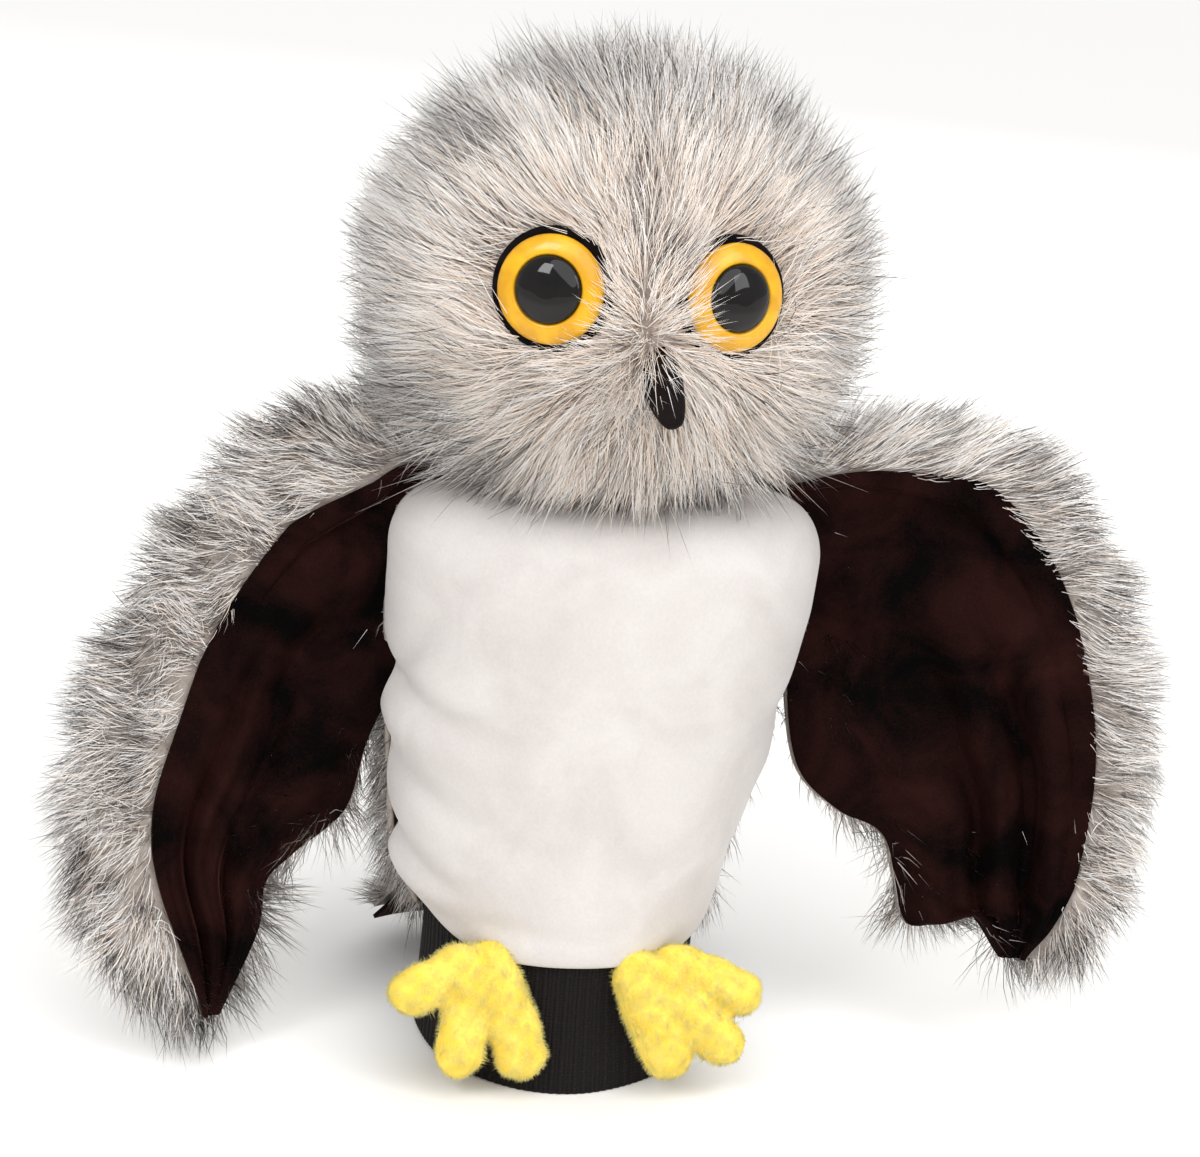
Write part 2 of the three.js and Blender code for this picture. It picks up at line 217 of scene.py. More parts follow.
def makeStage():
    clearSelection()
    bpy.ops.mesh.primitive_plane_add(size=studio["floorSize"], location=(0, 0, 0))
    floor = bpy.context.object
    floor.name = "floor"
    material, tree, shader = newMaterial("paleFloor", {"Base Color": linear("fbfaf8"), "Roughness": 0.9})
    floor.data.materials.append(material)
    world = bpy.data.worlds.new("studio")
    world.use_nodes = True
    world.node_tree.nodes["Background"].inputs["Color"].default_value = linear("ffffff")
    world.node_tree.nodes["Background"].inputs["Strength"].default_value = studio["world"]
    # the room lights the toy softly but is seen as plain white behind it
    tree = world.node_tree
    seen = addNode(tree, "ShaderNodeBackground", {"Color": linear("ffffff"), "Strength": studio["backdrop"]})
    path = addNode(tree, "ShaderNodeLightPath")
    choose = addNode(tree, "ShaderNodeMixShader", links={
        0: path.outputs["Is Camera Ray"], 1: tree.nodes["Background"].outputs[0], 2: seen.outputs[0]})
    tree.links.new(choose.outputs[0], tree.nodes["World Output"].inputs["Surface"])
    bpy.context.scene.world = world
    sun = bpy.data.objects.new("skyPanel", bpy.data.lights.new("skyPanel", "SUN"))
    sun.data.energy = studio["sunPower"]
    sun.data.angle = math.radians(studio["sunAngle"])
    sun.rotation_euler = Vector(studio["sunDirection"]).to_track_quat("-Z", "Y").to_euler()
    bpy.context.scene.collection.objects.link(sun)
    for name, (place, size, power) in studio["areas"].items():
        areaLight(name, place, size, power)
    bpy.context.scene.view_settings.view_transform = "Standard"


makeCamera()
makeStage()
print("stage ready")

# Each strand is a thin closed spike with three sides and one bend. On its map, u says what kind of hair
# it is and v runs from root to tip, so a strand's colour doesn't depend on where it lies.

hairKinds = {  # root and tip colours; each kind shades from its first pair to its second
    "cream": (("dccdbf", "fff7ee"), ("e8dacd", "fffaf4")),
    "beige": (("ccb5a3", "fde8d8"), ("dcc7b6", "fff3e6")),
    "silver": (("b9b0aa", "f5f2f0"), ("c9c1bc", "ffffff")),
    "ash": (("8d847e", "c9c2bd"), ("9c938d", "dcd6d2")),
    "smoke": (("5b524d", "8f8782"), ("69605b", "a39b96")),
    "darkTip": (("dcd2ca", "2e2522"), ("e6ddd6", "453b37")),
    "black": (("4c423d", "120d0b"), ("5a504a", "241c19")),
    "white": (("ddd5cf", "ffffff"), ("e8e1dc", "ffffff")),
    "yellow": (("f2cb3c", "fff490"), ("f8d54a", "fffab0")),
}
kindNames = list(hairKinds)
furLook = {"width": 0.27 * mm, "clumpCell": 5.0 * mm, "clumpPull": 0.42, "stray": 0.27}
# hairs end inside the room that soft cloth may take round the frame, and above the table
furLook["low"] = np.array(cadBox[0]) - 0.02 * np.ptp(cadBox, axis=0) - 9 * mm
furLook["high"] = np.array(cadBox[1]) + 0.02 * np.ptp(cadBox, axis=0) + 9 * mm
furLook["low"][2] = 0.5 * mm
furWander = [(size, strength, rng.normal(0, 1, (3, 6)), rng.uniform(0, 6.3, 6), rng.normal(0, 1, (6, 3)))
             for size, strength in ((12.0, 0.12), (4.5, 0.15))]


def makeFurMaterial():
    # modacrylic faux fur: fine soft fibres, matt with a faint gloss
    material, tree, shader = newMaterial("fauxFur", {"Roughness": 0.55, "Specular IOR Level": 0.35})
    place = addNode(tree, "ShaderNodeUVMap", {"uv_map": "OFBake"})
    split = addNode(tree, "ShaderNodeSeparateXYZ", links={"Vector": place.outputs["UV"]})
    ends = []
    for end in (0, 1):
        ramp = addNode(tree, "ShaderNodeValToRGB", links={"Fac": split.outputs["X"]})
        stops = ramp.color_ramp.elements
        for k, name in enumerate(kindNames):
            for half in (0, 1):
                at = (k + (0.02 if half == 0 else 0.98)) / len(kindNames)
                stop = stops[half] if k == 0 else stops.new(at)
                stop.position = at
                stop.color = linear(hairKinds[name][half][end])
        ends.append(ramp)
    rise = addNode(tree, "ShaderNodeMath", {"operation": "POWER", 1: 0.8}, {0: split.outputs["Y"]})
    mix = addNode(tree, "ShaderNodeMix", {"data_type": "RGBA"}, {"Factor": rise.outputs[0]})
    for socket in mix.inputs:
        if socket.type == "RGBA":
            tree.links.new(ends["AB".index(socket.name)].outputs["Color"], socket)
    colour = next(s for s in mix.outputs if s.type == "RGBA")
    tree.links.new(colour, shader.inputs["Base Color"])
    return material


def scatter(place, across, along, count):
    # random roots spread evenly over place(u, v), with their normals
    u, v = np.meshgrid(np.linspace(0, 1, across), np.linspace(0, 1, along), indexing="ij")
    p = place(u.ravel(), v.ravel()).reshape(across, along, 3)
    du = p[1:, :-1] - p[:-1, :-1]
    dv = p[:-1, 1:] - p[:-1, :-1]
    normal = np.cross(du, dv)
    area = np.linalg.norm(normal, axis=2)
    pick = rng.choice(area.size, size=count, p=(area / area.sum()).ravel())
    i, j = np.unravel_index(pick, area.shape)
    fu, fv = rng.random(count), rng.random(count)
    su = (i + fu) / (across - 1)
    sv = (j + fv) / (along - 1)
    a, b, c, d = p[i, j], p[i + 1, j], p[i, j + 1], p[i + 1, j + 1]
    fu, fv = fu[:, None], fv[:, None]
    root = (1 - fu) * (1 - fv) * a + fu * (1 - fv) * b + (1 - fu) * fv * c + fu * fv * d
    n = unit(normal[i, j])
    return root, n, su, sv


def pickKinds(shares, count, tone=0.0):
    # random hair kinds: shares gives each kind's weight for every strand, and tone makes dark tufts
    dark = {"ash": 0.3, "smoke": 0.8, "darkTip": 0.6, "black": 0.9}
    weights = np.stack([np.broadcast_to(shares.get(name, 0.0) * np.exp(dark.get(name, -0.2) * tone), count)
                        for name in kindNames], axis=1)
    steps = np.cumsum(weights / weights.sum(1, keepdims=True), axis=1)
    return (rng.random(count)[:, None] > steps).sum(1).clip(0, len(kindNames) - 1)


def swirl(points):
    # a smooth wander in the hair's direction, about a tuft wide
    return sum(strength * np.sin(points @ turns / (size * mm) + shifts) @ mixes
               for size, strength, turns, shifts, mixes in furWander)


def tuftTone(points, size=5.0):
    # lighter and darker tufts, from about -1 to 1
    turns, shifts = furWander[1][2], furWander[1][3]
    return np.sin(points @ turns / (size * mm) + shifts).sum(axis=1) / 2.4


def growFur(name, material, root, normal, flow, length, lean, kinds, bent=True, bend=0.35,
            body=None, blend=None, width=None, face=None, wild=1.0):
    # strands that start at root and lean from the normal towards the flow; face is the way they catch light
    count = len(root)
    width = width or furLook["width"]
    normal = unit(normal)
    flow = flow - (flow * normal).sum(1, keepdims=True) * normal
    flow = unit(unit(flow) + wild * (rng.normal(0, furLook["stray"], (count, 3)) + swirl(root)))
    lean = (np.broadcast_to(lean, count) * rng.normal(1, 0.13, count))[:, None]
    start = unit(np.cos(lean) * normal + np.sin(lean) * flow)
    length = (np.broadcast_to(length, count) * rng.uniform(0.78, 1.12, count))[:, None]
    end = unit(start + bend * flow)
    face = normal if face is None else unit(face)
    middle = root + 0.5 * length * start
    tip = middle + 0.5 * length * end
    turn = np.array([[0.36, 0.48, -0.8], [-0.8, 0.6, 0.0], [0.48, 0.64, 0.6]])  # keeps tufts off the axes
    loose = rng.normal(0, 0.2, (count, 3)) * furLook["clumpCell"]
    cell = np.floor((root @ turn + loose) / furLook["clumpCell"])
    _, tuft = np.unique(cell.astype(int), axis=0, return_inverse=True)
    tuft = tuft.ravel()
    size = np.bincount(tuft)
    average = np.stack([np.bincount(tuft, tip[:, k]) / size for k in range(3)], axis=1)
    pull = furLook["clumpPull"] * rng.uniform(0.5, 1.2, count)[:, None]
    tip = tip + pull * (average[tuft] - tip)
    middle = middle + 0.4 * pull * (average[tuft] - tip)
    tip, middle = (np.clip(row, furLook["low"], furLook["high"]) for row in (tip, middle))
    root = root - 0.6 * mm * normal
    thick = width / 2 * rng.uniform(0.75, 1.25, count)[:, None]
    side = unit(np.cross(start, normal + 1e-3))
    other = unit(np.cross(start, side))
    corners = [(math.cos(a), math.sin(a)) for a in (math.pi / 2, math.pi * 7 / 6, math.pi * 11 / 6)]
    levels = (root, middle) if bent else (root,)
    last = 3 * len(levels)
    points = np.empty((count, last + 1, 3))
    shade = np.empty((count, last + 1, 3))
    for k, (cx, cy) in enumerate(corners):
        offset = cx * side + cy * other
        for row, at in enumerate(levels):
            points[:, 3 * row + k] = at + (1 - 0.2 * row) * thick * offset
            shade[:, 3 * row + k] = unit(1.1 * face + 0.55 * offset + 0.25 * start)
    points[:, last] = tip
    shade[:, last] = unit(face + 0.4 * start)
    faces = [(0, 2, 1)] + [(last - 3 + k, last - 3 + (k + 1) % 3, last) for k in range(3)]
    if bent:
        faces += [(k, (k + 1) % 3, 3 + (k + 1) % 3, 3 + k) for k in range(3)]
    corner = np.concatenate([np.array(f) for f in faces])
    starts = np.cumsum([0] + [len(f) for f in faces])
    loops = (corner[None, :] + (last + 1) * np.arange(count)[:, None]).ravel()
    loopStart = (starts[:-1][None, :] + len(corner) * np.arange(count)[:, None]).ravel()
    mesh = bpy.data.meshes.new(name)
    mesh.vertices.add(count * (last + 1))
    mesh.vertices.foreach_set("co", points.ravel())
    mesh.loops.add(len(loops))
    mesh.loops.foreach_set("vertex_index", loops.astype(np.int32))
    mesh.polygons.add(len(loopStart))
    mesh.polygons.foreach_set("loop_start", loopStart.astype(np.int32))
    mesh.update(calc_edges=True)
    tone = (kinds + rng.uniform(0.1, 0.85, count)) / len(kindNames)
    across = np.array([0.0, 0.5, 1.0] * len(levels) + [0.5]) * 0.006
    along = np.array([0.0, 0.02, 0.0, 0.5, 0.52, 0.5][:last] + [1.0])
    uv = np.empty((count, last + 1, 2))
    uv[:, :, 0] = tone[:, None] + across
    uv[:, :, 1] = along * 0.98 + 0.01
    layer = mesh.uv_layers.new(name="OFBake")
    layer.data.foreach_set("uv", uv.reshape(-1, 2)[loops].astype(np.float32).ravel())
    mesh.polygons.foreach_set("use_smooth", np.ones(len(loopStart), bool))
    mesh.validate()
    mesh.normals_split_custom_set_from_vertices(shade.reshape(-1, 3).tolist())
    piece = bpy.data.objects.new(name, mesh)
    bpy.context.scene.collection.objects.link(piece)
    return finishPiece(piece, material, body, blend)


fauxFur = makeFurMaterial()


def setRamp(ramp, dark, light, spread):
    for stop, colour, position in zip(ramp.color_ramp.elements, (dark, light), spread):
        stop.position, stop.color = position, linear(colour)


def makeVelour(name, dark, light, settings):
    # velour: a knit with a fine upright pile about 1.5 mm long, with lighter patches in its colour: random
    # mottling, and on the dark brown lining painted sheen highlights
    material, tree, shader = newMaterial(name, {
        "Roughness": settings["rough"], "Specular IOR Level": settings["gloss"],
        "Sheen Weight": settings["sheen"], "Sheen Roughness": settings.get("nap", 0.35),
        "Sheen Tint": linear(settings["sheenColour"])})
    place = addNode(tree, "ShaderNodeTexCoord")
    mottleAndPaintedSheen = addNode(tree, "ShaderNodeTexNoise",
                      {"Scale": 1 / settings["patch"], "Detail": 3.0, "Roughness": 0.55, "Distortion": 0.6},
                      {"Vector": place.outputs["Object"]})
    pile = addNode(tree, "ShaderNodeTexNoise", {"Scale": 1 / settings["pile"], "Detail": 2.0},
                   {"Vector": place.outputs["Object"]})
    # the colour follows the patches and, a little, the pile's bump pattern, so lower pile is darker: painted
    # shade
    blend = addNode(tree, "ShaderNodeMath", {"operation": "MULTIPLY_ADD", 1: 0.3},
                    {0: pile.outputs["Fac"], 2: mottleAndPaintedSheen.outputs["Fac"]})
    ramp = addNode(tree, "ShaderNodeValToRGB", links={"Fac": blend.outputs[0]})
    setRamp(ramp, dark, light, settings.get("spread", (0.42, 0.88)))
    tree.links.new(ramp.outputs["Color"], shader.inputs["Base Color"])
    bump = addNode(tree, "ShaderNodeBump", {"Strength": settings["bump"], "Distance": 0.4 * mm},
                   {"Height": pile.outputs["Fac"]})
    tree.links.new(bump.outputs["Normal"], shader.inputs["Normal"])
    return material


def makeRibKnit():
    # black cotton rib: upright ribs 1.3 mm apart, crossed by rows of stitches
    material, tree, shader = newMaterial("blackRibKnit", {
        "Roughness": 0.85, "Sheen Weight": 0.1, "Sheen Tint": linear("5a5050"), "Specular IOR Level": 0.25})
    place = addNode(tree, "ShaderNodeUVMap", {"uv_map": "cloth"})
    ribs = addNode(tree, "ShaderNodeTexWave",
                   {"bands_direction": "X", "Scale": 0.314 / 1.3, "Distortion": 0.4, "Detail": 1.0},
                   {"Vector": place.outputs["UV"]})
    rows = addNode(tree, "ShaderNodeTexWave",
                   {"bands_direction": "Y", "Scale": 0.314 / 1.0, "Distortion": 0.8, "Detail": 1.0},
                   {"Vector": place.outputs["UV"]})
    stitch = addNode(tree, "ShaderNodeMath", {"operation": "MULTIPLY_ADD", 1: 0.4},
                     {0: rows.outputs["Fac"], 2: ribs.outputs["Fac"]})
    # lighter on the ribs and darker in the grooves between ribs and rows: painted shade
    ramp = addNode(tree, "ShaderNodeValToRGB", links={"Fac": stitch.outputs[0]})
    setRamp(ramp, "030202", "150f10", (0, 1))
    tree.links.new(ramp.outputs["Color"], shader.inputs["Base Color"])
    bump = addNode(tree, "ShaderNodeBump", {"Strength": 0.7, "Distance": 0.5 * mm},
                   {"Height": stitch.outputs[0]})
    tree.links.new(bump.outputs["Normal"], shader.inputs["Normal"])
    return material


def makePlastic(name, dark, light, settings):
    # moulded and painted plastic under a clear coat, with faint unevenness in the paint
    material, tree, shader = newMaterial(name, {"Roughness": settings["rough"], "IOR": 1.45,
                                                "Coat Weight": settings.get("coat", 0.6),
                                                "Coat Roughness": 0.03})
    place = addNode(tree, "ShaderNodeTexCoord")
    cloud = addNode(tree, "ShaderNodeTexNoise", {"Scale": 1 / (6 * mm), "Detail": 2.0},
                    {"Vector": place.outputs["Object"]})
    ramp = addNode(tree, "ShaderNodeValToRGB", links={"Fac": cloud.outputs["Fac"]})
    setRamp(ramp, dark, light, (0.35, 0.65))
    tree.links.new(ramp.outputs["Color"], shader.inputs["Base Color"])
    return material


whiteVelour = makeVelour("whiteVelour", "c6c0bd", "d9d4d1", {
    "rough": 0.9, "gloss": 0.15, "sheen": 0.25, "sheenColour": "ffffff", "patch": 30 * mm, "pile": 0.9 * mm,
    "bump": 0.15})
# the lighter brown patches of the lining are painted sheen highlights
brownVelour = makeVelour("darkBrownVelour", "020101", "2a1310", {
    "rough": 0.8, "gloss": 0.04, "sheen": 0.45, "sheenColour": "a86a60", "nap": 0.22, "patch": 24 * mm,
    "pile": 0.6 * mm, "bump": 0.3, "spread": (0.5, 0.95)})
blackVelour = makeVelour("blackVelour", "060303", "1c1314", {
    "rough": 0.75, "gloss": 0.1, "sheen": 0.15, "sheenColour": "6c5c5c", "patch": 7 * mm, "pile": 0.7 * mm,
    "bump": 0.3})
yellowPlush = makeVelour("yellowPlush", "f3cc3e", "ffe56a", {
    "rough": 0.9, "gloss": 0.15, "sheen": 0.35, "sheenColour": "fff0a0", "patch": 9 * mm, "pile": 0.9 * mm,
    "bump": 0.45})
# the backing's grey-beige is partly its own colour and partly painted shade for the gaps between the strands
furBacking = makeVelour("furBackingKnit", "7d736c", "b5aba3", {
    "rough": 0.95, "gloss": 0.1, "sheen": 0.1, "sheenColour": "ffffff", "patch": 8 * mm, "pile": 1.0 * mm,
    "bump": 0.3})
liningCotton = makeVelour("blackCottonLining", "0e0b0b", "221d1d", {
    "rough": 0.95, "gloss": 0.1, "sheen": 0.1, "sheenColour": "888080", "patch": 15 * mm, "pile": 0.6 * mm,
    "bump": 0.2})
fibreFill = makeVelour("polyesterFibreFill", "dcdad6", "f7f6f3", {
    "rough": 0.95, "gloss": 0.1, "sheen": 0.2, "sheenColour": "ffffff", "patch": 6 * mm, "pile": 1.5 * mm,
    "bump": 0.8})
blackFelt = makeVelour("blackFelt", "070505", "1b1616", {
    "rough": 0.95, "gloss": 0.1, "sheen": 0.2, "sheenColour": "5a5050", "patch": 4 * mm, "pile": 0.7 * mm,
    "bump": 0.5})
washerPlastic = makePlastic("whitePolyethyleneWasher", "dcdad2", "efeee8", {"rough": 0.45})
irisPlastic = makePlastic("yellowPaintedAcrylic", "d69a04", "ecb208", {"rough": 0.3, "coat": 0.3})
pupilPlastic = makePlastic("blackAcrylicPupil", "050303", "0d0807", {"rough": 0.05, "coat": 0.0})
ribKnit = makeRibKnit()
print("materials ready")


body = {"hem": 38, "top": 169, "shoulder": 150, "neck": 16.2, "square": 4.4,
        "frontThick": 1.6, "backThick": 2.0,
        "leftEdge": [(38, 40), (50, 43), (64, 46.5), (90, 53), (112, 58), (135, 62), (150, 63), (170, 62)],
        "rightEdge": [(38, 41), (50, 47), (62, 50.5), (90, 53), (126, 55.5), (150, 56), (170, 55)],
        "depth": [(38, 37.5), (90, 40.5), (130, 42), (170, 41)], "hemLift": (7, 13)}
# each fold: angle round the front in degrees (0 is the puppet's right side), height,
# slope, width, length, depth
bellyFolds = [(14, 112, -0.16, 5.0, 38, -3.6), (10, 101, -0.10, 5.5, 30, 1.9), (22, 86, -0.22, 6.0, 42, -2.0),
              (12, 64, -0.20, 5.0, 34, -3.6), (18, 54, -0.14, 5.0, 30, 2.2), (32, 47, -0.10, 4.0, 40, -1.9),
              (58, 49, -0.08, 3.6, 26, -1.5), (60, 43, -0.05, 3.6, 30, 1.0), (30, 128, 0.9, 7.0, 22, -1.2),
              (168, 108, 0.25, 6.0, 26, -1.8), (172, 92, 0.12, 6.0, 24, 1.0), (150, 60, 0.30, 7.0, 34, -1.1),
              (90, 140, 0.02, 10.0, 60, 0.7)]


def bodyPoint(angle, s, out=0.0):
    # a point on the glove: angle round the axis, s from hem to neck, out in mm from the cloth
    straight = 0.72
    z = np.where(s < straight, body["hem"] + (body["shoulder"] - body["hem"]) * s / straight, 0)
    turn = np.clip((s - straight) / (1 - straight), 0, 1)
    risen = body["shoulder"] + (body["top"] - body["shoulder"]) * np.sin(turn * np.pi / 2) ** 0.9
    z = np.where(s >= straight, risen, z)
    t = np.clip((z - body["shoulder"]) / (body["top"] - body["shoulder"]), 0, 1)
    close = np.where(s >= straight, np.cos(turn * np.pi / 2) ** (2 / body["square"]), 1.0)
    sideOf = {k: np.interp(z, *zip(*body[k])) for k in ("leftEdge", "rightEdge", "depth")}
    wide = np.where(np.cos(angle) > 0, sideOf["leftEdge"], sideOf["rightEdge"])
    a = body["neck"] + (wide - body["neck"]) * close + out * close
    b = body["neck"] + (sideOf["depth"] - body["neck"]) * close + out * close
    x = bodyCentre[0] / mm + a * np.sign(np.cos(angle)) * np.abs(np.cos(angle)) ** 0.92
    y = bodyCentre[1] / mm + b * np.sin(angle)
    return np.stack([x, y, z + out * (1 - close)], axis=-1) * mm


def bellyPlace(u, v):
    angle = np.pi + np.pi * u
    lift = np.where(u < 0.5, body["hemLift"][1], body["hemLift"][0]) * np.abs(np.cos(angle)) ** 5
    v = v + (1 - v) * 0.72 * lift / (body["shoulder"] - body["hem"])
    point = bodyPoint(angle, v)
    outwards = unit(bodyPoint(angle, v, 1.0) - point)
    bulge = np.zeros_like(u)
    for where, height, slope, width, reach, deep in bellyFolds:
        away = (u * 180 - where)
        line = height + slope * away
        bulge += deep * np.exp(-((point[:, 2] / mm - line) / width) ** 2 - (away / reach) ** 2)
    fade = np.clip((0.95 - v) * 8, 0, 1)
    return point + outwards * (bulge * fade)[:, None] * mm


def backPlace(u, v):
    return bodyPoint(np.pi * u, v)


def clothMap(piece, width, height):
    # a UV map in millimetres along the cloth, for knits and weaves
    layer = piece.data.uv_layers[0] if piece.data.uv_layers else piece.data.uv_layers.new(name="cloth")
    layer.name = "cloth"
    flat = np.empty(len(layer.data) * 2)
    layer.data.foreach_get("uv", flat)
    flat = flat.reshape(-1, 2) * [width, height]
    layer.data.foreach_set("uv", flat.ravel())


def sheetPiece(name, across, along, place, thick, material, slot, body=None, blend=None, replaces=(),
               flip=False, flat=None, held="hung", area=None, smooth=1, cuts=(), rests=()):
    # a cloth sheet with a real thickness and a rolled edge, cut along the given planes
    piece = gridPiece(name, across, along, place)
    clothMap(piece, *((flat or (0.1, 0.1)) / np.array(mm)))
    makeOnly(piece)
    bpy.ops.object.mode_set(mode="EDIT")
    bpy.ops.mesh.select_all(action="SELECT")
    bpy.ops.mesh.remove_doubles(threshold=2e-5)
    if flip:
        bpy.ops.mesh.flip_normals()
    for point, direction, clearInner in cuts:
        bpy.ops.mesh.select_all(action="SELECT")
        bpy.ops.mesh.bisect(plane_co=tuple(point), plane_no=tuple(direction), clear_inner=clearInner,
                            clear_outer=not clearInner)
    bpy.ops.object.mode_set(mode="OBJECT")
    applyModifier(piece, "SOLIDIFY", {"thickness": thick * mm, "offset": 0})
    if smooth:
        applyModifier(piece, "SUBSURF", {"levels": smooth, "render_levels": smooth})
    makeOnly(piece)
    bpy.ops.object.shade_smooth_by_angle(angle=math.radians(50))
    finishPiece(piece, material, body, blend, replaces)
    return piece


sheetPiece("bellyVelour", 96, 74, bellyPlace, body["frontThick"], whiteVelour, "white_velour", body="torso",
           replaces=["belly_panel"], flip=True, flat=(0.158, 0.175), held="stretched", rests=["bodyLining"])
sheetPiece("backCloth", 60, 40, backPlace, body["backThick"], furBacking, "body_fur", body="torso",
           replaces=["back_panel"], flat=(0.158, 0.175), held="stretched", rests=["bodyLining"])

cuff = {"low": 0.0, "high": 52, "inset": 2.4, "flare": 1.0, "thick": 1.4, "ribs": 120}


def cuffPlace(u, v):
    angle = 2 * np.pi * u
    z = cuff["low"] + (cuff["high"] - cuff["low"]) * v
    a = np.where(np.cos(angle) > 0, body["leftEdge"][0][1], body["rightEdge"][0][1]) - cuff["inset"]
    grow = cuff["flare"] * np.clip(1 - z / 28, -0.6, 1) + np.clip((z - 30) / 30, 0, 1) * 1.2
    grow = grow + 3.2 * np.clip(-np.sin(angle), 0, 1) ** 2 * np.clip(1 - z / 26, 0, 1)
    ruck = 0.5 * np.sin(3 * angle + 1) * np.clip(1 - z / 40, 0, 1) + 0.25 * np.sin(7 * angle)
    rib = 0.16 * np.cos(cuff["ribs"] * angle)
    lift = 0.8 * np.sin(2 * angle + 0.6) * np.clip(1 - z / 25, 0, 1) + 0.8
    lift = np.maximum(lift - 0.75 * np.clip(-np.sin(angle), 0, 1), 0.15)
    x = bodyCentre[0] / mm + (a + grow + ruck + rib) * np.cos(angle)
    y = bodyCentre[1] / mm + (body["depth"][0][1] - cuff["inset"] + grow + ruck + rib) * np.sin(angle)
    return np.stack([x, y, z + lift], axis=-1) * mm


def liningPlace(u, v):
    lower = np.array([0, 0, 2.5 * mm]) * np.clip(v * 4 - 3, 0, 1)[:, None]
    return bodyPoint(2 * np.pi * u, 0.04 + 0.88 * v, -6.0) - lower


sheetPiece("ribCuff", 480, 24, cuffPlace, cuff["thick"], ribKnit, "black_knit", body="torso",
           replaces=["cuff"], flat=(0.262, 0.052), held="stretched", smooth=0, rests=["bodyLining"])
sheetPiece("bodyLining", 90, 40, liningPlace, 0.8, liningCotton, "lining_cloth", body="torso",
           replaces=["body_lining"], flat=(0.275, 0.135), held="hung", smooth=0, rests=["neckSleeve"])

neckLow, neckHigh = (np.array(c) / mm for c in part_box("neck_sleeve"))
neck = {"centre": (neckLow + neckHigh) / 2, "radius": 15.4, "low": 163.5, "high": 178, "gathers": 16,
        "thick": 0.9}


def neckPlace(u, v):
    angle = 2 * np.pi * u
    z = neck["low"] + (neck["high"] - neck["low"]) * v
    r = neck["radius"] + 0.55 * np.sin(neck["gathers"] * angle + 2 * v) + 0.9 * np.sin(np.pi * v)
    return np.stack([neck["centre"][0] + r * np.cos(angle), neck["centre"][1] + r * np.sin(angle), z],
                    axis=-1) * mm


neckAt = [*(neck["centre"][:2] * mm)]
sheetPiece("neckSleeve", 128, 16, neckPlace, neck["thick"], ribKnit, "black_knit",
           blend=("torso", "neck", (*neckAt, 0.164), (*neckAt, 0.172)), replaces=["neck_sleeve"],
           flat=(0.105, 0.016), held="gathered", smooth=0, rests=["bodyLining"])
print("body ready")


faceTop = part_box("face_panel_left")[1][2] / mm
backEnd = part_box("head_back_left")[1][1] / mm
headOuter = np.array([61.0, 56.0, 54.0])
headCentre = np.array([bodyCentre[0] / mm, backEnd - headOuter[1], faceTop - headOuter[2]])
head = {"skin": np.array([57.0, 52.0, 50.0]), "inner": np.array([52.0, 47.0, 45.0]), "seat": 1.8,
        "eyeX": 22.0, "eyeZ": 7.5, "eyeDent": 4.4, "beak": np.array([4.0, -53.0, -8.0])}


def eyeFrame(side):
    # where an eye sits on the head, and the three directions of its own axes
    x, z = side * head["eyeX"], head["eyeZ"]
    y = -head["inner"][1] * math.sqrt(1 - (x / head["inner"][0]) ** 2 - (z / head["inner"][2]) ** 2)
    axis = unit(np.array([x, y, z]) / head["inner"] ** 2)
    across = unit(np.cross([0, 0, 1], axis))
    return headCentre + np.array([x, y, z]) + head["seat"] * axis, across, np.cross(axis, across), axis


eyes = {name: eyeFrame(side) for name, side in sides.items()}


def headSurface(direction):
    point = headCentre + head["skin"] * direction
    outwards = unit(direction / head["skin"])
    dent = np.zeros(len(direction))
    for seat, across, up, axis in eyes.values():
        reach = np.linalg.norm(point - (seat + 4 * axis), axis=1)
        dent = np.maximum(dent, head["eyeDent"] * np.exp(-(reach / 19) ** 4))
    return point - dent[:, None] * outwards


def headPlace(u, v):
    around, rise = 2 * np.pi * u, np.pi * v
    direction = np.stack([np.cos(around) * np.sin(rise), np.sin(around) * np.sin(rise), -np.cos(rise)],
                         axis=-1)
    return headSurface(direction) * mm


def closedPiece(name, across, along, place, material, body, replaces, smooth=0):
    # a round form from a grid wrapped on itself, with its seam and poles merged
    piece = gridPiece(name, across, along, place)
    outward(piece)
    if smooth:
        applyModifier(piece, "SUBSURF", {"levels": smooth, "render_levels": smooth})
    makeOnly(piece)
    bpy.ops.object.shade_smooth()
    finishPiece(piece, material, body, None, replaces)
    return piece


closedPiece("headCover", 120, 72, headPlace, furBacking, "head",
            ["face_panel_left", "face_panel_right", "head_back_left", "head_back_right"])


def turned(frameOf, profile):
    # a place function for a form turned about an eye's own axis
    seat, across, up, axis = frameOf
    curve = np.array(profile, float)

    def place(u, v):
        around = 2 * np.pi * u
        rz = smoothCurve(curve, v)
        r, z = np.maximum(rz[:, 0], 0), rz[:, 1]
        r = np.where((v < 1e-6) | (v > 1 - 1e-6), 0, r)
        return (seat + (r * np.cos(around))[:, None] * across + (r * np.sin(around))[:, None] * up
                + z[:, None] * axis) * mm
    return place


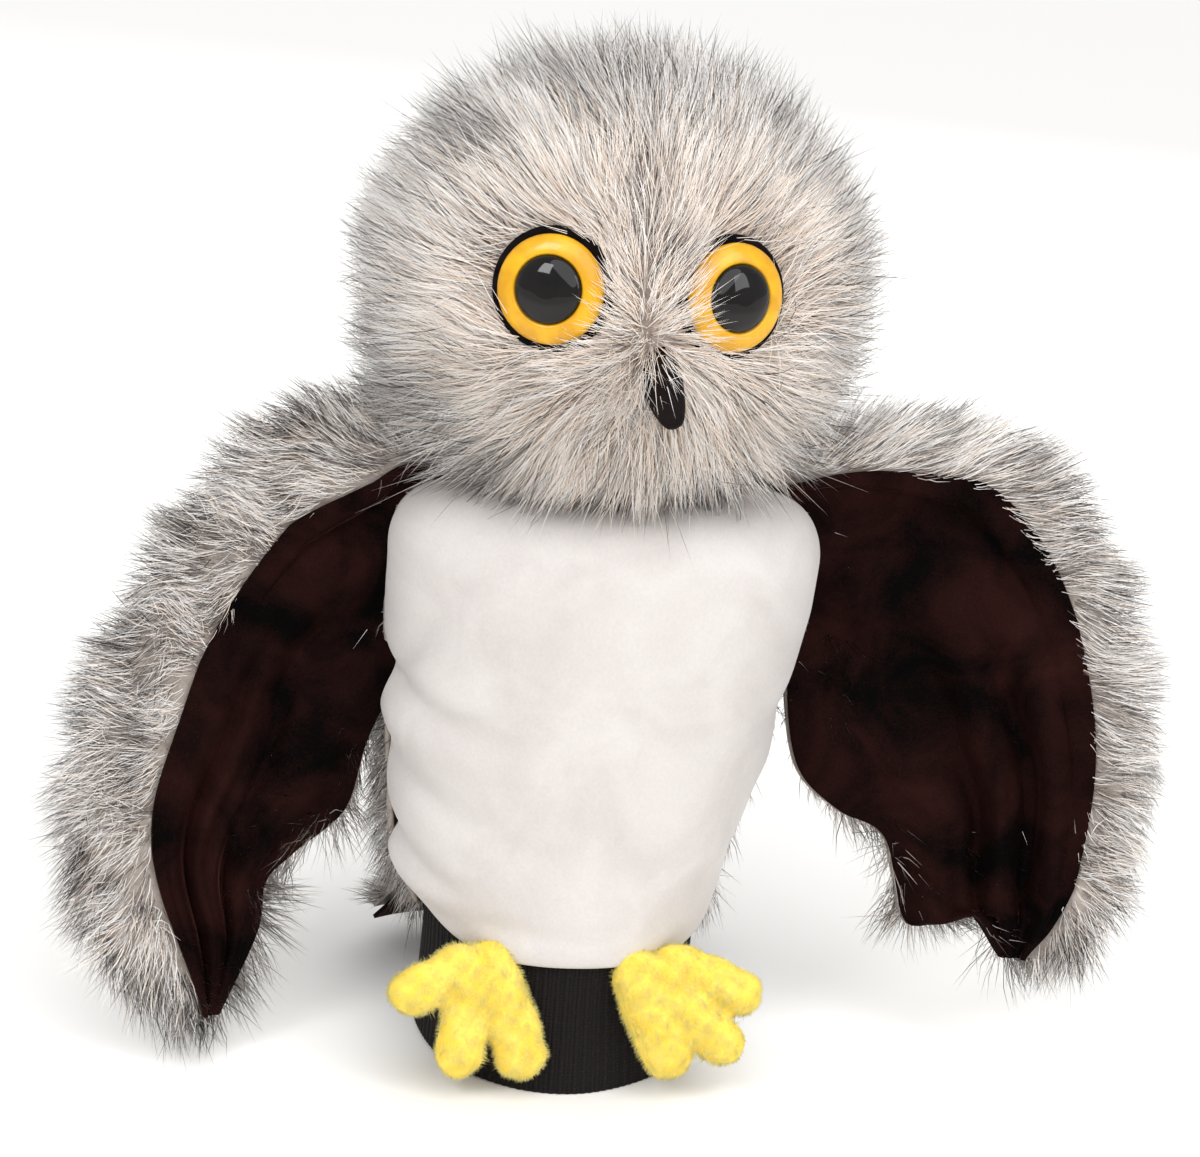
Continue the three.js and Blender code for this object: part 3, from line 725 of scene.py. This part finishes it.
eyeProfiles = {  # radius and height in mm, from the middle underneath, round the rim, to the middle on top
    "backing": [(0, 0), (9, 0), (15.4, 0.1), (15.9, 0.7), (15.2, 1.25), (9, 1.3), (0, 1.3)],
    "iris": [(0, 1.5), (8, 1.5), (12.8, 1.5), (13.8, 2.0), (14.0, 2.9), (13.3, 4.1), (11.6, 5.0), (9.9, 5.4),
             (9.2, 5.3), (8.8, 4.9), (8.6, 4.6), (5, 4.4), (0, 4.4)],
    "pupil": [(0, 4.55), (6, 4.55), (8.4, 4.7), (8.75, 5.2), (8.0, 6.2), (6.2, 7.1), (3.2, 7.7), (0, 7.8)],
}
for name, side in sides.items():
    closedPiece("eyeBacking_" + name, 64, 18, turned(eyes[name], eyeProfiles["backing"]), blackFelt,
                "head", ["eye_backing_" + name])
    closedPiece("eyeIris_" + name, 96, 40, turned(eyes[name], eyeProfiles["iris"]), irisPlastic,
                "head", ["eye_iris_" + name])
    closedPiece("eyePupil_" + name, 96, 28, turned(eyes[name], eyeProfiles["pupil"]), pupilPlastic,
                "head", ["eye_pupil_" + name])

beak = {"path": [(0.2, 9, 4.5), (0.6, 6.5, 1.0), (1.5, 2.0, -4.2), (3.2, -3.4, -9.8), (5.2, -6.4, -15.2)],
        "wide": [(0, 5.4), (0.35, 5.8), (0.6, 5.3), (0.8, 4.2), (0.93, 2.9), (0.98, 1.9), (1, 0)],
        "deep": [(0, 5.2), (0.35, 5.6), (0.6, 5.1), (0.8, 4.0), (0.93, 2.7), (0.98, 1.8), (1, 0)]}
beakSeat = headCentre + head["beak"]


def beakPlace(u, v):
    around = 2 * np.pi * u
    w = np.clip(v, 0, 1)
    at = smoothCurve(beak["path"], w)
    ahead = unit(smoothCurve(beak["path"], np.clip(w + 0.01, 0, 1))
                 - smoothCurve(beak["path"], np.clip(w - 0.01, 0, 1)))
    across = unit(np.cross(ahead, [0, 1.0, -0.6]))
    up = np.cross(across, ahead)
    a = np.interp(w, *zip(*beak["wide"])) * np.where(w < 1e-6, 0, 1)
    b = np.interp(w, *zip(*beak["deep"])) * np.where(w < 1e-6, 0, 1)
    seam = 1 - 0.10 * np.exp(-((around - np.pi / 2) / 0.16) ** 2)
    return (beakSeat + at + (a * np.cos(around) * seam)[:, None] * across
            + (b * np.sin(around) * seam)[:, None] * up) * mm


closedPiece("beakVelour", 48, 48, beakPlace, blackVelour, "head",
            ["beak_cover", "beak_stuffing"], smooth=1)

# Everything grows away from a point between the eyes, just above the beak.

headFur = {  # pairs are for the long and the under hair; lengths in mm
    "count": (57500, 24500), "spare": 1.06, "length": (23.5, 15.0), "mostInPiece": (19000, 48000),
    "whorl": np.array([3.0, -51.0, -3.0]), "lean": 1.02, "wild": 1.35, "eyeClear": 14.6,
    "eyeTrim": {"right": 0.50, "left": 0.16}, "beakClear": 4.6, "neckClear": 15,
    "guard": 0.10, "guardLength": 1.22, "guardLean": 0.72}


def growHead(bent):
    kind = 0 if bent else 1
    root, normal, u, v = scatter(headPlace, 160, 100, int(headFur["count"][kind] * headFur["spare"]))
    normal = normal * np.sign((normal * (root - headCentre * mm)).sum(1))[:, None]
    clear = np.ones(len(root), bool)
    length = np.full(len(root), headFur["length"][kind])
    spot = root / mm - headCentre
    for name, (seat, across, up, axis) in eyes.items():
        rel = root / mm - seat
        off = np.stack([rel @ across, rel @ up], axis=1)
        reach = np.linalg.norm(off, axis=1)
        front = rel @ axis > -12
        clear &= ~((reach < headFur["eyeClear"]) & front)
        towardsBeak = off @ np.array([-sides[name], -0.25]) / np.maximum(reach, 1) > 0.15
        inner = np.exp(-((reach - 15) / 9) ** 2) * front * towardsBeak
        length *= 1 - headFur["eyeTrim"][name] * inner
    toBeak = np.linalg.norm((spot - head["beak"]) * [1, 0.5, 1], axis=1)
    length *= 1 - 0.35 * np.exp(-(toBeak / 12) ** 2)
    length *= 1 + 0.35 * np.clip(-(spot[:, 2] + 28) / 20, 0, 1)
    length *= 1 + 0.40 * np.clip(np.abs(spot[:, 0]) / 30 - 0.4, 0, 1) * np.clip(-(spot[:, 2] + 14) / 18, 0, 1)
    clear &= ~(np.linalg.norm((spot - head["beak"] + [-2, 0, 8]) * [1.2, 0.3, 0.7],
                              axis=1) < headFur["beakClear"])
    clear &= ~((spot[:, 2] < -44) & (np.hypot(spot[:, 0], spot[:, 1]) < headFur["neckClear"]))
    root, normal, length, spot = (a[clear] for a in (root, normal, length, spot))
    away = unit(spot - headFur["whorl"])
    behind = np.clip((spot[:, 1] - 5) / 40, 0, 1)[:, None]
    flow = unit(away * (1 - 0.75 * behind) + np.array([0, 0.1, -1.0]) * 0.9 * behind)
    up = np.clip(spot[:, 2] / 50, -1, 1)
    parting = np.exp(-(spot[:, 0] / 4) ** 2) * (up > 0.1) * (spot[:, 1] < 0)
    flow = unit(flow + np.stack([np.sign(spot[:, 0]) * 0.55 * parting, 0 * up, 0 * up], axis=1))
    rim = np.clip((np.linalg.norm(spot[:, [0, 2]] / head["skin"][[0, 2]], axis=1) - 0.62) / 0.3, 0, 1)
    rim = np.maximum(rim, np.clip((spot[:, 1] + 20) / 25, 0, 1))
    face = 1 - rim
    deep = rim * (0.45 + 0.55 * np.clip(np.maximum(spot[:, 2] / 42, spot[:, 1] / 20), 0, 1))
    middle = np.exp(-(spot[:, 0] / 7) ** 2) * (spot[:, 1] < 0) * np.clip((spot[:, 2] - 6) / 18, 0, 1)
    streak = 0.5 + 0.5 * np.sin(9 * np.arctan2(spot[:, 2], spot[:, 0]) + 2 * np.sin(spot[:, 1] / 9))
    nearEyes = np.zeros(len(spot))
    for seat in (eye[0] for eye in eyes.values()):
        nearEyes = np.maximum(nearEyes,
                              np.exp(-((np.linalg.norm(spot + headCentre - seat, axis=1) - 17) / 5) ** 2))
    # low: more ash, smoke and dark-tipped hairs towards the chin, painted shade for the underside of the head
    low = np.clip(-(spot[:, 2] + 15) / 25, 0, 1)
    kinds = pickKinds({
        "cream": 0.9 * face + 0.40 * rim, "beige": 1.0 * face + 0.22 * rim + 0.4 * nearEyes,
        "silver": 0.15 * face + 0.9 * rim, "ash": 0.04 * face + 0.26 * rim + 0.3 * middle + 0.25 * low,
        "smoke": 0.01 + 0.12 * deep * streak + 0.25 * middle + 0.1 * low,
        "darkTip": 0.05 + 0.34 * deep * streak + 0.25 * middle + 0.12 * low,
        "black": 0.02 + 0.14 * deep * streak + 0.20 * middle, "white": 0.30 * face + 0.35 * rim}, len(spot),
        tuftTone(root))
    guard = rng.random(len(root)) < headFur["guard"] * bent * (0.3 + rim)
    length = length * np.where(guard, headFur["guardLength"], 1)
    lean = np.where(guard, headFur["guardLean"], 1) * headFur["lean"]
    lean *= 1 - 0.65 * np.exp(-(np.linalg.norm((spot - headFur["whorl"]) * [1, 0.5, 1.0], axis=1) / 9) ** 2)
    kinds[guard] = rng.choice([kindNames.index(name) for name in ("darkTip", "black", "silver")], guard.sum())
    order = rng.permutation(len(root))
    for k, part in enumerate(np.array_split(order, math.ceil(len(order) / headFur["mostInPiece"][kind]))):
        growFur(f"headFur{'Long' if bent else 'Under'}{k + 1}", fauxFur, root[part], normal[part], flow[part],
                length[part] * mm, lean[part], kinds[part], bent=bent, body="head",
                wild=headFur["wild"])


growHead(True)
growHead(False)
print("head ready")

# Each wing is a ribbon from the shoulder to the tip. Its fur back rolls over the leading edge to the front,
# and the velour lining is tucked under that band. Outlines are x outwards and z, in mm.

wing = {
    "left": {"lead": [(44, 172), (66, 181), (92, 182), (113, 175), (130, 156), (143, 124), (148, 96),
                      (146, 66), (140, 46), (131, 37)],
             "trail": [(46, 164), (53, 146), (54, 124), (55, 104), (60, 84), (72, 73), (86, 66), (94, 42),
                       (110, 48), (121, 36)],
             "band": [(0, 0.42), (0.15, 0.24), (0.3, 0.13), (0.5, 0.12), (0.8, 0.17), (1, 0.34)]},
    "right": {"lead": [(44, 176), (62, 184), (84, 177), (100, 163), (117, 138), (131, 107), (138, 80),
                       (136, 56), (128, 33), (111, 14)],
              "trail": [(46, 164), (53, 146), (54, 124), (56, 108), (63, 90), (68, 70), (82, 58), (90, 50),
                        (92, 36), (102, 14)],
              "band": [(0, 0.40), (0.16, 0.42), (0.32, 0.29), (0.5, 0.28), (0.75, 0.36), (1, 0.50)]},
    "puff": 3.0, "cloth": 1.6, "liningThick": 1.2, "backShare": 0.66, "rollShare": 0.80, "cutOut": 88,
    "reach": 90, "drop": 132, "cup": 18, "sweep": 18, "rootBack": 4, "grid": (70, 110), "foldBand": 13,
    "shoulderBand": (3, 30), "hair": ((True, 18500, 20.0), (False, 10000, 13.0)), "hairLean": 1.06,
}


def wingMid(name, s, v):
    side = sides[name]
    lead, trail = (smoothCurve(wing[name][k], v) for k in ("lead", "trail"))
    flat = trail + np.asarray(s)[..., None] * (lead - trail)
    hinge = jointAt[f"wing_{name}_flap"] / mm
    x = flat[..., 0] - abs(hinge[0])
    z = np.minimum(flat[..., 1] - hinge[2], 0)
    bow = wing["sweep"] * (x / wing["reach"]) ** 2
    y = hinge[1] + wing["rootBack"] - bow - wing["cup"] * (z / wing["drop"]) ** 2
    return np.stack([side * flat[..., 0], y, flat[..., 1]], axis=-1)


def wingFrame(name, s, v):
    # mid point, outward direction in the wing, and the direction to its back
    step = 0.004
    point = wingMid(name, s, v)
    across = wingMid(name, s + step, v) - wingMid(name, s - step, v)
    along = wingMid(name, s, np.clip(v + step, 0, 1)) - wingMid(name, s, np.clip(v - step, 0, 1))
    back = unit(np.cross(across, along))
    back = back * np.sign(back[:, 1:2])
    return point, unit(across), unit(along), back


def wingFurPlace(name):
    def place(u, v):
        b, r = wing["backShare"], wing["rollShare"]
        onBack, onRoll = u <= b, (u > b) & (u <= r)
        band = np.interp(v, *zip(*wing[name]["band"]))
        s = np.where(onBack, u / b, np.where(onRoll, 1.0, 1 - (u - r) / (1 - r) * band))
        point, across, along, back = wingFrame(name, s, v)
        puff = wing["puff"] * np.clip(np.minimum(v * 9, (1 - v) * 9), 0.25, 1)
        rise = np.where(onBack, puff * (0.35 + 0.65 * np.sin(np.pi / 2 * np.clip(s * 2.2, 0, 1)))
                        + 1.6 * np.sin(np.pi * np.clip(s, 0, 1)), 0)
        turn = np.where(onRoll, np.pi / 2 - np.pi * (u - b) / (r - b), 0)
        out = np.where(onRoll, puff * np.cos(turn), 0)
        rise = np.where(onRoll, puff * np.sin(turn), rise)
        rise = np.where(u > r, -puff * (1.0 + 0.25 * np.sin(np.pi * (u - r) / (1 - r))), rise)
        return (point + across * out[:, None] + back * rise[:, None]) * mm
    return place


def wingLiningPlace(name):
    def place(u, v):
        band = np.interp(v, *zip(*wing[name]["band"]))
        s = 0.01 + u * (1.06 - band)
        point, across, along, back = wingFrame(name, s, v)
        ends = np.clip(np.minimum(v * 7, (1 - v) * 7), 0.1, 1)
        inside = np.sin(np.pi * np.clip(u, 0, 1)) ** 0.5 * ends
        phase = 1.3 if name == "left" else 0.2
        ridge = lambda at, wide: np.exp(-((u - at) / wide) ** 2)
        low, mid = np.clip(v * 2.6 - 0.9, 0, 1), np.exp(-((v - 0.35) / 0.2) ** 2)
        crease = (4.2 * ridge(0.86 - 0.04 * np.sin(4 * v), 0.07) * low - 3.4 * ridge(0.72, 0.05) * low
                  + 2.6 * ridge(0.56 + 0.10 * np.sin(3 * v + phase), 0.06) * low
                  - 2.6 * ridge(0.42 + 0.12 * np.sin(3 * v + 1), 0.05) * np.clip(v * 3 - 0.8, 0, 1)
                  + 2.2 * ridge(0.22 + 0.08 * np.sin(5 * v), 0.07) * np.clip(v * 3 - 1.2, 0, 1)
                  + 2.6 * np.sin(9 * u - 14 * v + phase) * mid
                  + 1.0 * np.sin(26 * u - 7 * v + phase * 3) * np.exp(-((v - 0.75) / 0.22) ** 2))
        if name == "left":
            finger = 0.80 - 0.10 * np.clip(v * 2 - 1, 0, 1)
            crease = crease + np.clip(v * 3.2 - 1.5, 0, 1) * (3.4 * ridge(finger, 0.045)
                                                              - 3.0 * ridge(finger - 0.09, 0.03))
        edge = np.clip((u - 0.88) / 0.12, 0, 1)
        overBand = 5.4 * np.clip((s - (0.93 - band)) / 0.05, 0, 1)
        rise = 0.8 + 1.8 * np.clip(u * 4, 0, 1) + inside * (1.0 + 1.5 * crease) * (1 - edge) + 2.8 * edge
        rise = -np.maximum(rise, overBand)
        return (point + back * rise[:, None]) * mm
    return place


def foldPlane(name):
    joint = next(j for j in frame["joints"] if j["name"] == f"wing_{name}_fold")
    axis = np.array(joint["axis"], float)
    down = unit(np.array([-axis[2], 0, axis[0]]))
    return np.array(joint["pos_m"]), down * -np.sign(down[2])


def makeWing(name):
    side = sides[name]
    hinge = jointAt[f"wing_{name}_flap"]
    fold, down = foldPlane(name)
    inner = np.array([side * wing["cutOut"] * mm, 0, 0])
    outwards = (side, 0, 0)
    # the shoulder's turn is complete before the cut beside the fingertip, so the cloth stays whole there
    before, after = wing["shoulderBand"]
    settled = min(after * mm, wing["cutOut"] * mm - abs(hinge[0]) - 1.5 * mm)
    root = ("torso", f"wing_{name}", hinge - [side * before * mm, 0, 0], hinge + [side * settled, 0, 0])
    tip = (f"wing_{name}", f"wing_{name}_tip", fold, fold + down * wing["foldBand"] * mm)
    parts = {"": (root, [(fold, down, False)]), "_tip": (tip, [(fold, down, True), (inner, outwards, True)]),
             "_lobe": (root, [(fold, down, True), (inner, outwards, False)])}
    for part, (blend, cuts) in parts.items():
        node = "_tip" if part == "_tip" else ""
        for layer, place, thick, material, slot in (
                ("fur", wingFurPlace(name), wing["cloth"], furBacking, "body_fur"),
                ("lining", wingLiningPlace(name), wing["liningThick"], brownVelour, "brown_velour")):
            piece = sheetPiece(f"wing_{name}{part}_{layer}Cloth", *wing["grid"], place, thick, material, slot,
                               blend=blend, replaces=[f"wing_{name}{node}_{layer}"], cuts=cuts, smooth=0,
                               flip=(side < 0) == (layer == "fur"))
            box = [piece.matrix_world @ Vector(c) for c in piece.bound_box]
            area = sum(p.area for p in piece.data.polygons) / 2
            size = [max(max(c[k] for c in box) - min(c[k] for c in box), 0.011) for k in (0, 2)]
            shape = max(area, 0.31 * size[0] * size[1])
            size = [s * max(1, math.sqrt(shape / (size[0] * size[1]))) for s in size]
    place = wingFurPlace(name)
    for bent, count, length in wing["hair"]:
        root0, normal, u, v = scatter(place, 160, 200, count)
        b = wing["backShare"]
        s = np.where(u < b, u / b, 1.0)
        point, across, along, back = wingFrame(name, s, v)
        outer = unit(root0 / mm - point + 1e-6)
        normal = normal * np.sign((normal * outer).sum(1))[:, None]
        overLead = np.clip((u - b * 0.75) / 0.2, 0, 1)[:, None]
        trailing = (np.clip(1 - s / 0.16, 0, 1) * np.clip(v * 6 - 2.4, 0, 1))[:, None]
        flow = along * (1 - 0.25 * overLead) + across * (0.15 + 0.60 * overLead - 0.8 * trailing)
        streak = 0.5 + 0.5 * np.sin(v * 21 + 5 * u + 2 * np.sin(9 * u))
        top = np.clip(1 - v * 2.6, 0, 1)
        kinds = pickKinds({"silver": 0.9 + 0.4 * top, "cream": 0.40 + 0.5 * top, "beige": 0.28, "white": 0.45,
                           "ash": 0.45, "smoke": 0.25, "darkTip": 0.32 + 0.25 * streak,
                           "black": 0.30 + 0.35 * streak}, len(u), 1.2 * tuftTone(root0))
        size = length * (1 - 0.25 * (u > wing["rollShare"])) * np.clip(0.9 + v, 0, 1)
        size = np.where(u > 0.965, 0.15, size)
        size = size * (1 - 0.75 * np.clip(1 - s / 0.14, 0, 1) * np.clip(3.4 - v * 6, 0, 1))
        face = normal * (1 - 0.8 * trailing) + 0.8 * trailing * (unit(flow) + np.array([0, -0.6, 0.5]))
        onTip = (((root0 - fold) @ down) > 0) & (side * root0[:, 0] > wing["cutOut"] * mm)
        for label, mask, blend in (("", ~onTip, root), ("_tip", onTip, tip)):
            growFur(f"wing_{name}{label}_strands{'Long' if bent else 'Under'}", fauxFur, root0[mask],
                    normal[mask], flow[mask], size[mask] * mm, wing["hairLean"], kinds[mask],
                    bent=bent, blend=blend, face=face[mask])


for wingName in sides:
    makeWing(wingName)
print("wings ready")


backFur = {"hair": ((True, 15500, 19.0), (False, 9500, 13.0)), "lean": 1.1}


def growBack(bent, count, length):
    root, normal, u, v = scatter(backPlace, 90, 70, count)
    normal = normal * np.sign((normal * (root - np.append(bodyCentre[:2], 0.11))).sum(1))[:, None]
    down = np.array([0, 0.1, -1.0]) + np.stack([0.25 * np.cos(np.pi * u), 0 * u, 0 * u], axis=1)
    streak = 0.5 + 0.5 * np.sin(v * 13 + 4 * np.sin(7 * u))
    edge = np.clip(np.minimum(u, 1 - u) * 20, np.where(v < 0.38, 0.45, 0.12), 1)
    kinds = pickKinds({"silver": 0.9, "cream": 0.35, "beige": 0.3, "white": 0.3, "ash": 0.55, "smoke": 0.3,
                       "darkTip": 0.3 + 0.3 * streak, "black": 0.2 + 0.25 * streak}, count, tuftTone(root))
    growFur(f"back_strands{'Long' if bent else 'Under'}", fauxFur, root, normal, down, length * edge * mm,
            backFur["lean"], kinds, bent=bent, body="torso")


for strands in backFur["hair"]:
    growBack(*strands)
print("back ready")


tail = {"length": 40, "root": 36, "tip": 51, "slope": math.radians(36), "wrap": 14, "furOut": 2.6,
        "liningOut": -1.6, "hinge": jointAt["tail_swing"] / mm,
        "hair": ((True, 5200, 13.0), (False, 3500, 10.0)), "lean": 0.9}


def tailPlace(out):
    def place(u, v):
        s = 2 * u - 1
        length = tail["length"] * v * (1 - 0.18 * s * s * v)
        x = s * (tail["root"] + (tail["tip"] - tail["root"]) * v * (1 - 0.12 * v * np.abs(s) ** 3))
        curl = out + 1.2 * np.sin(3 * np.pi * u) * v
        y = length * math.sin(tail["slope"]) - tail["wrap"] * s * s + curl * math.cos(tail["slope"])
        z = -length * math.cos(tail["slope"]) + curl * math.sin(tail["slope"])
        return (np.stack([x, y, z], axis=-1) + tail["hinge"] + [0, 2.4, 0]) * mm
    return place


tailBlend = ("torso", "tail", jointAt["tail_swing"] + [0, 0, 1 * mm],
             jointAt["tail_swing"] - [0, -5 * mm, 7 * mm])
sheetPiece("tailFurCloth", 60, 30, tailPlace(tail["furOut"]), 1.6, furBacking, "body_fur", blend=tailBlend,
           replaces=["tail_fur"], flat=(0.102, 0.042), held="hung", smooth=0, rests=["backCloth"])
sheetPiece("tailLining", 60, 30, tailPlace(tail["liningOut"]), 1.2, brownVelour, "brown_velour",
           blend=tailBlend, replaces=["tail_lining"],
           flat=(0.102, 0.042), held="hung", smooth=0, rests=["backCloth"])
for bent, count, length in tail["hair"]:
    root, normal, u, v = scatter(tailPlace(tail["furOut"]), 70, 40, count)
    normal = normal * np.sign(normal @ np.array([0, 1, 0.6]))[:, None]
    flow = np.stack([0.5 * (2 * u - 1), 0.5 + 0 * u, -0.8 + 0 * u], axis=1)
    kinds = pickKinds({"silver": 0.8, "cream": 0.3, "beige": 0.3, "white": 0.25, "ash": 0.6, "smoke": 0.35,
                       "darkTip": 0.45, "black": 0.3}, count, tuftTone(root))
    short = np.clip(0.35 + root[:, 2] / (22 * mm), 0.35, 1)
    growFur(f"tail_strands{'Long' if bent else 'Under'}", fauxFur, root, normal, flow, length * short * mm,
            tail["lean"], kinds, bent=bent, blend=tailBlend)
print("tail ready")

# Each toe is a row of balls, joined and smoothed into one stuffed form: x, y, z and radius in mm.

feet = {
    "right": [[(-29, -37, 36, 8.5), (-24, -39, 26, 8.0), (-20, -42, 18, 7.6), (-18.7, -44, 13.2, 7.4)],
              [(-33, -38, 34, 8.5), (-34, -41, 24, 7.2), (-35.5, -44, 17, 6.8), (-35.8, -45, 13.4, 6.8)],
              [(-36, -37, 35, 8.5), (-43, -39, 33, 7.2), (-49.5, -41, 30.5, 6.9)]],
    "left": [[(14, -38, 35, 8.0), (17, -41, 26, 7.8), (21, -44, 18, 7.5), (22.8, -45, 14.2, 7.3)],
             [(21, -38, 34, 8.5), (28, -41, 27, 7.4), (34, -43, 21, 6.8), (38.2, -44, 17.6, 6.6)],
             [(24, -37, 36, 8.3), (33, -38, 34.5, 7.2), (42.5, -40, 31, 6.7)]],
    "flat": 0.66, "voxel": 0.9, "rounds": 7, "fuzz": 12500, "pile": 2.0, "pileWidth": 0.24,
}


def scatterMesh(piece, count):
    # random roots spread evenly over a finished piece, with the normals there
    mesh = piece.data
    mesh.calc_loop_triangles()
    corners = np.empty(len(mesh.loop_triangles) * 3, np.int32)
    mesh.loop_triangles.foreach_get("vertices", corners)
    co, normal = np.empty(len(mesh.vertices) * 3), np.empty(len(mesh.vertices) * 3)
    mesh.vertices.foreach_get("co", co)
    mesh.vertices.foreach_get("normal", normal)
    corners, co, normal = corners.reshape(-1, 3), co.reshape(-1, 3), normal.reshape(-1, 3)
    area = np.linalg.norm(np.cross(co[corners[:, 1]] - co[corners[:, 0]], co[corners[:, 2]]
                                   - co[corners[:, 0]]), axis=1)
    pick = corners[rng.choice(len(area), size=count, p=area / area.sum())]
    share = rng.dirichlet((1, 1, 1), count)[:, :, None]
    return (co[pick] * share).sum(1), unit((normal[pick] * share).sum(1))


def makeFoot(name):
    clearSelection()
    balls = []
    for toe in feet[name]:
        for (x0, y0, z0, r0), (x1, y1, z1, r1) in zip(toe, toe[1:]):
            for t in np.linspace(0, 1, 5):
                at = np.array([x0 + (x1 - x0) * t, y0 + (y1 - y0) * t, z0 + (z1 - z0) * t])
                bpy.ops.mesh.primitive_uv_sphere_add(segments=20, ring_count=12,
                                                     radius=(r0 + (r1 - r0) * t) * mm,
                                                     location=tuple(at * mm), scale=(1, feet["flat"], 1))
                balls.append(bpy.context.object)
    for ball in balls:
        ball.select_set(True)
    bpy.ops.object.join()
    foot = bpy.context.object
    foot.name = f"footPlush_{name}"
    bpy.ops.object.transform_apply(location=True, rotation=True, scale=True)
    applyModifier(foot, "REMESH", {"mode": "VOXEL", "voxel_size": feet["voxel"] * mm})
    applyModifier(foot, "SMOOTH", {"factor": 0.6, "iterations": feet["rounds"]})
    co = np.empty(len(foot.data.vertices) * 3)
    foot.data.vertices.foreach_get("co", co)
    co = co.reshape(-1, 3)
    normal = np.empty_like(co).ravel()
    foot.data.vertices.foreach_get("normal", normal)
    normal = normal.reshape(-1, 3)
    grain = np.sin(co @ np.array([1900, 700, 300])) * np.sin(co @ np.array([-500, 1700, 1100])) \
        * np.sin(co @ np.array([300, -900, 2100]))
    lump = np.sin(co @ np.array([420, 260, 130])) * np.sin(co @ np.array([-150, 230, 460]) + 1)
    co = co + normal * (0.16 * grain + 0.35 * lump)[:, None] * mm
    foot.data.vertices.foreach_set("co", co.ravel())
    makeOnly(foot)
    bpy.ops.object.shade_smooth()
    finishPiece(foot, yellowPlush, f"foot_{name}", None,
                [f"foot_{name}_upper", f"foot_{name}_sole", f"foot_{name}_stuffing"])
    root, around = scatterMesh(foot, feet["fuzz"])
    lie = np.array([0, -0.3, -1.0]) + 0.6 * rng.normal(0, 1, (len(root), 3))
    kinds = np.full(len(root), kindNames.index("yellow"))
    growFur(f"footPile_{name}", fauxFur, root, around, lie, feet["pile"] * mm, 0.7, kinds, bent=False,
            body=f"foot_{name}", width=feet["pileWidth"] * mm)


for footName in ("left", "right"):
    makeFoot(footName)
print("feet ready")


hidden = {"head_base": liningCotton, "head_finger_pocket": liningCotton, "head_stuffing": fibreFill,
          "eye_washer_left": washerPlastic, "eye_washer_right": washerPlastic}
for nodeName, material in hidden.items():
    node = frame["nodes"][nodeName]
    for slotHere in node.material_slots:
        slotHere.material = material
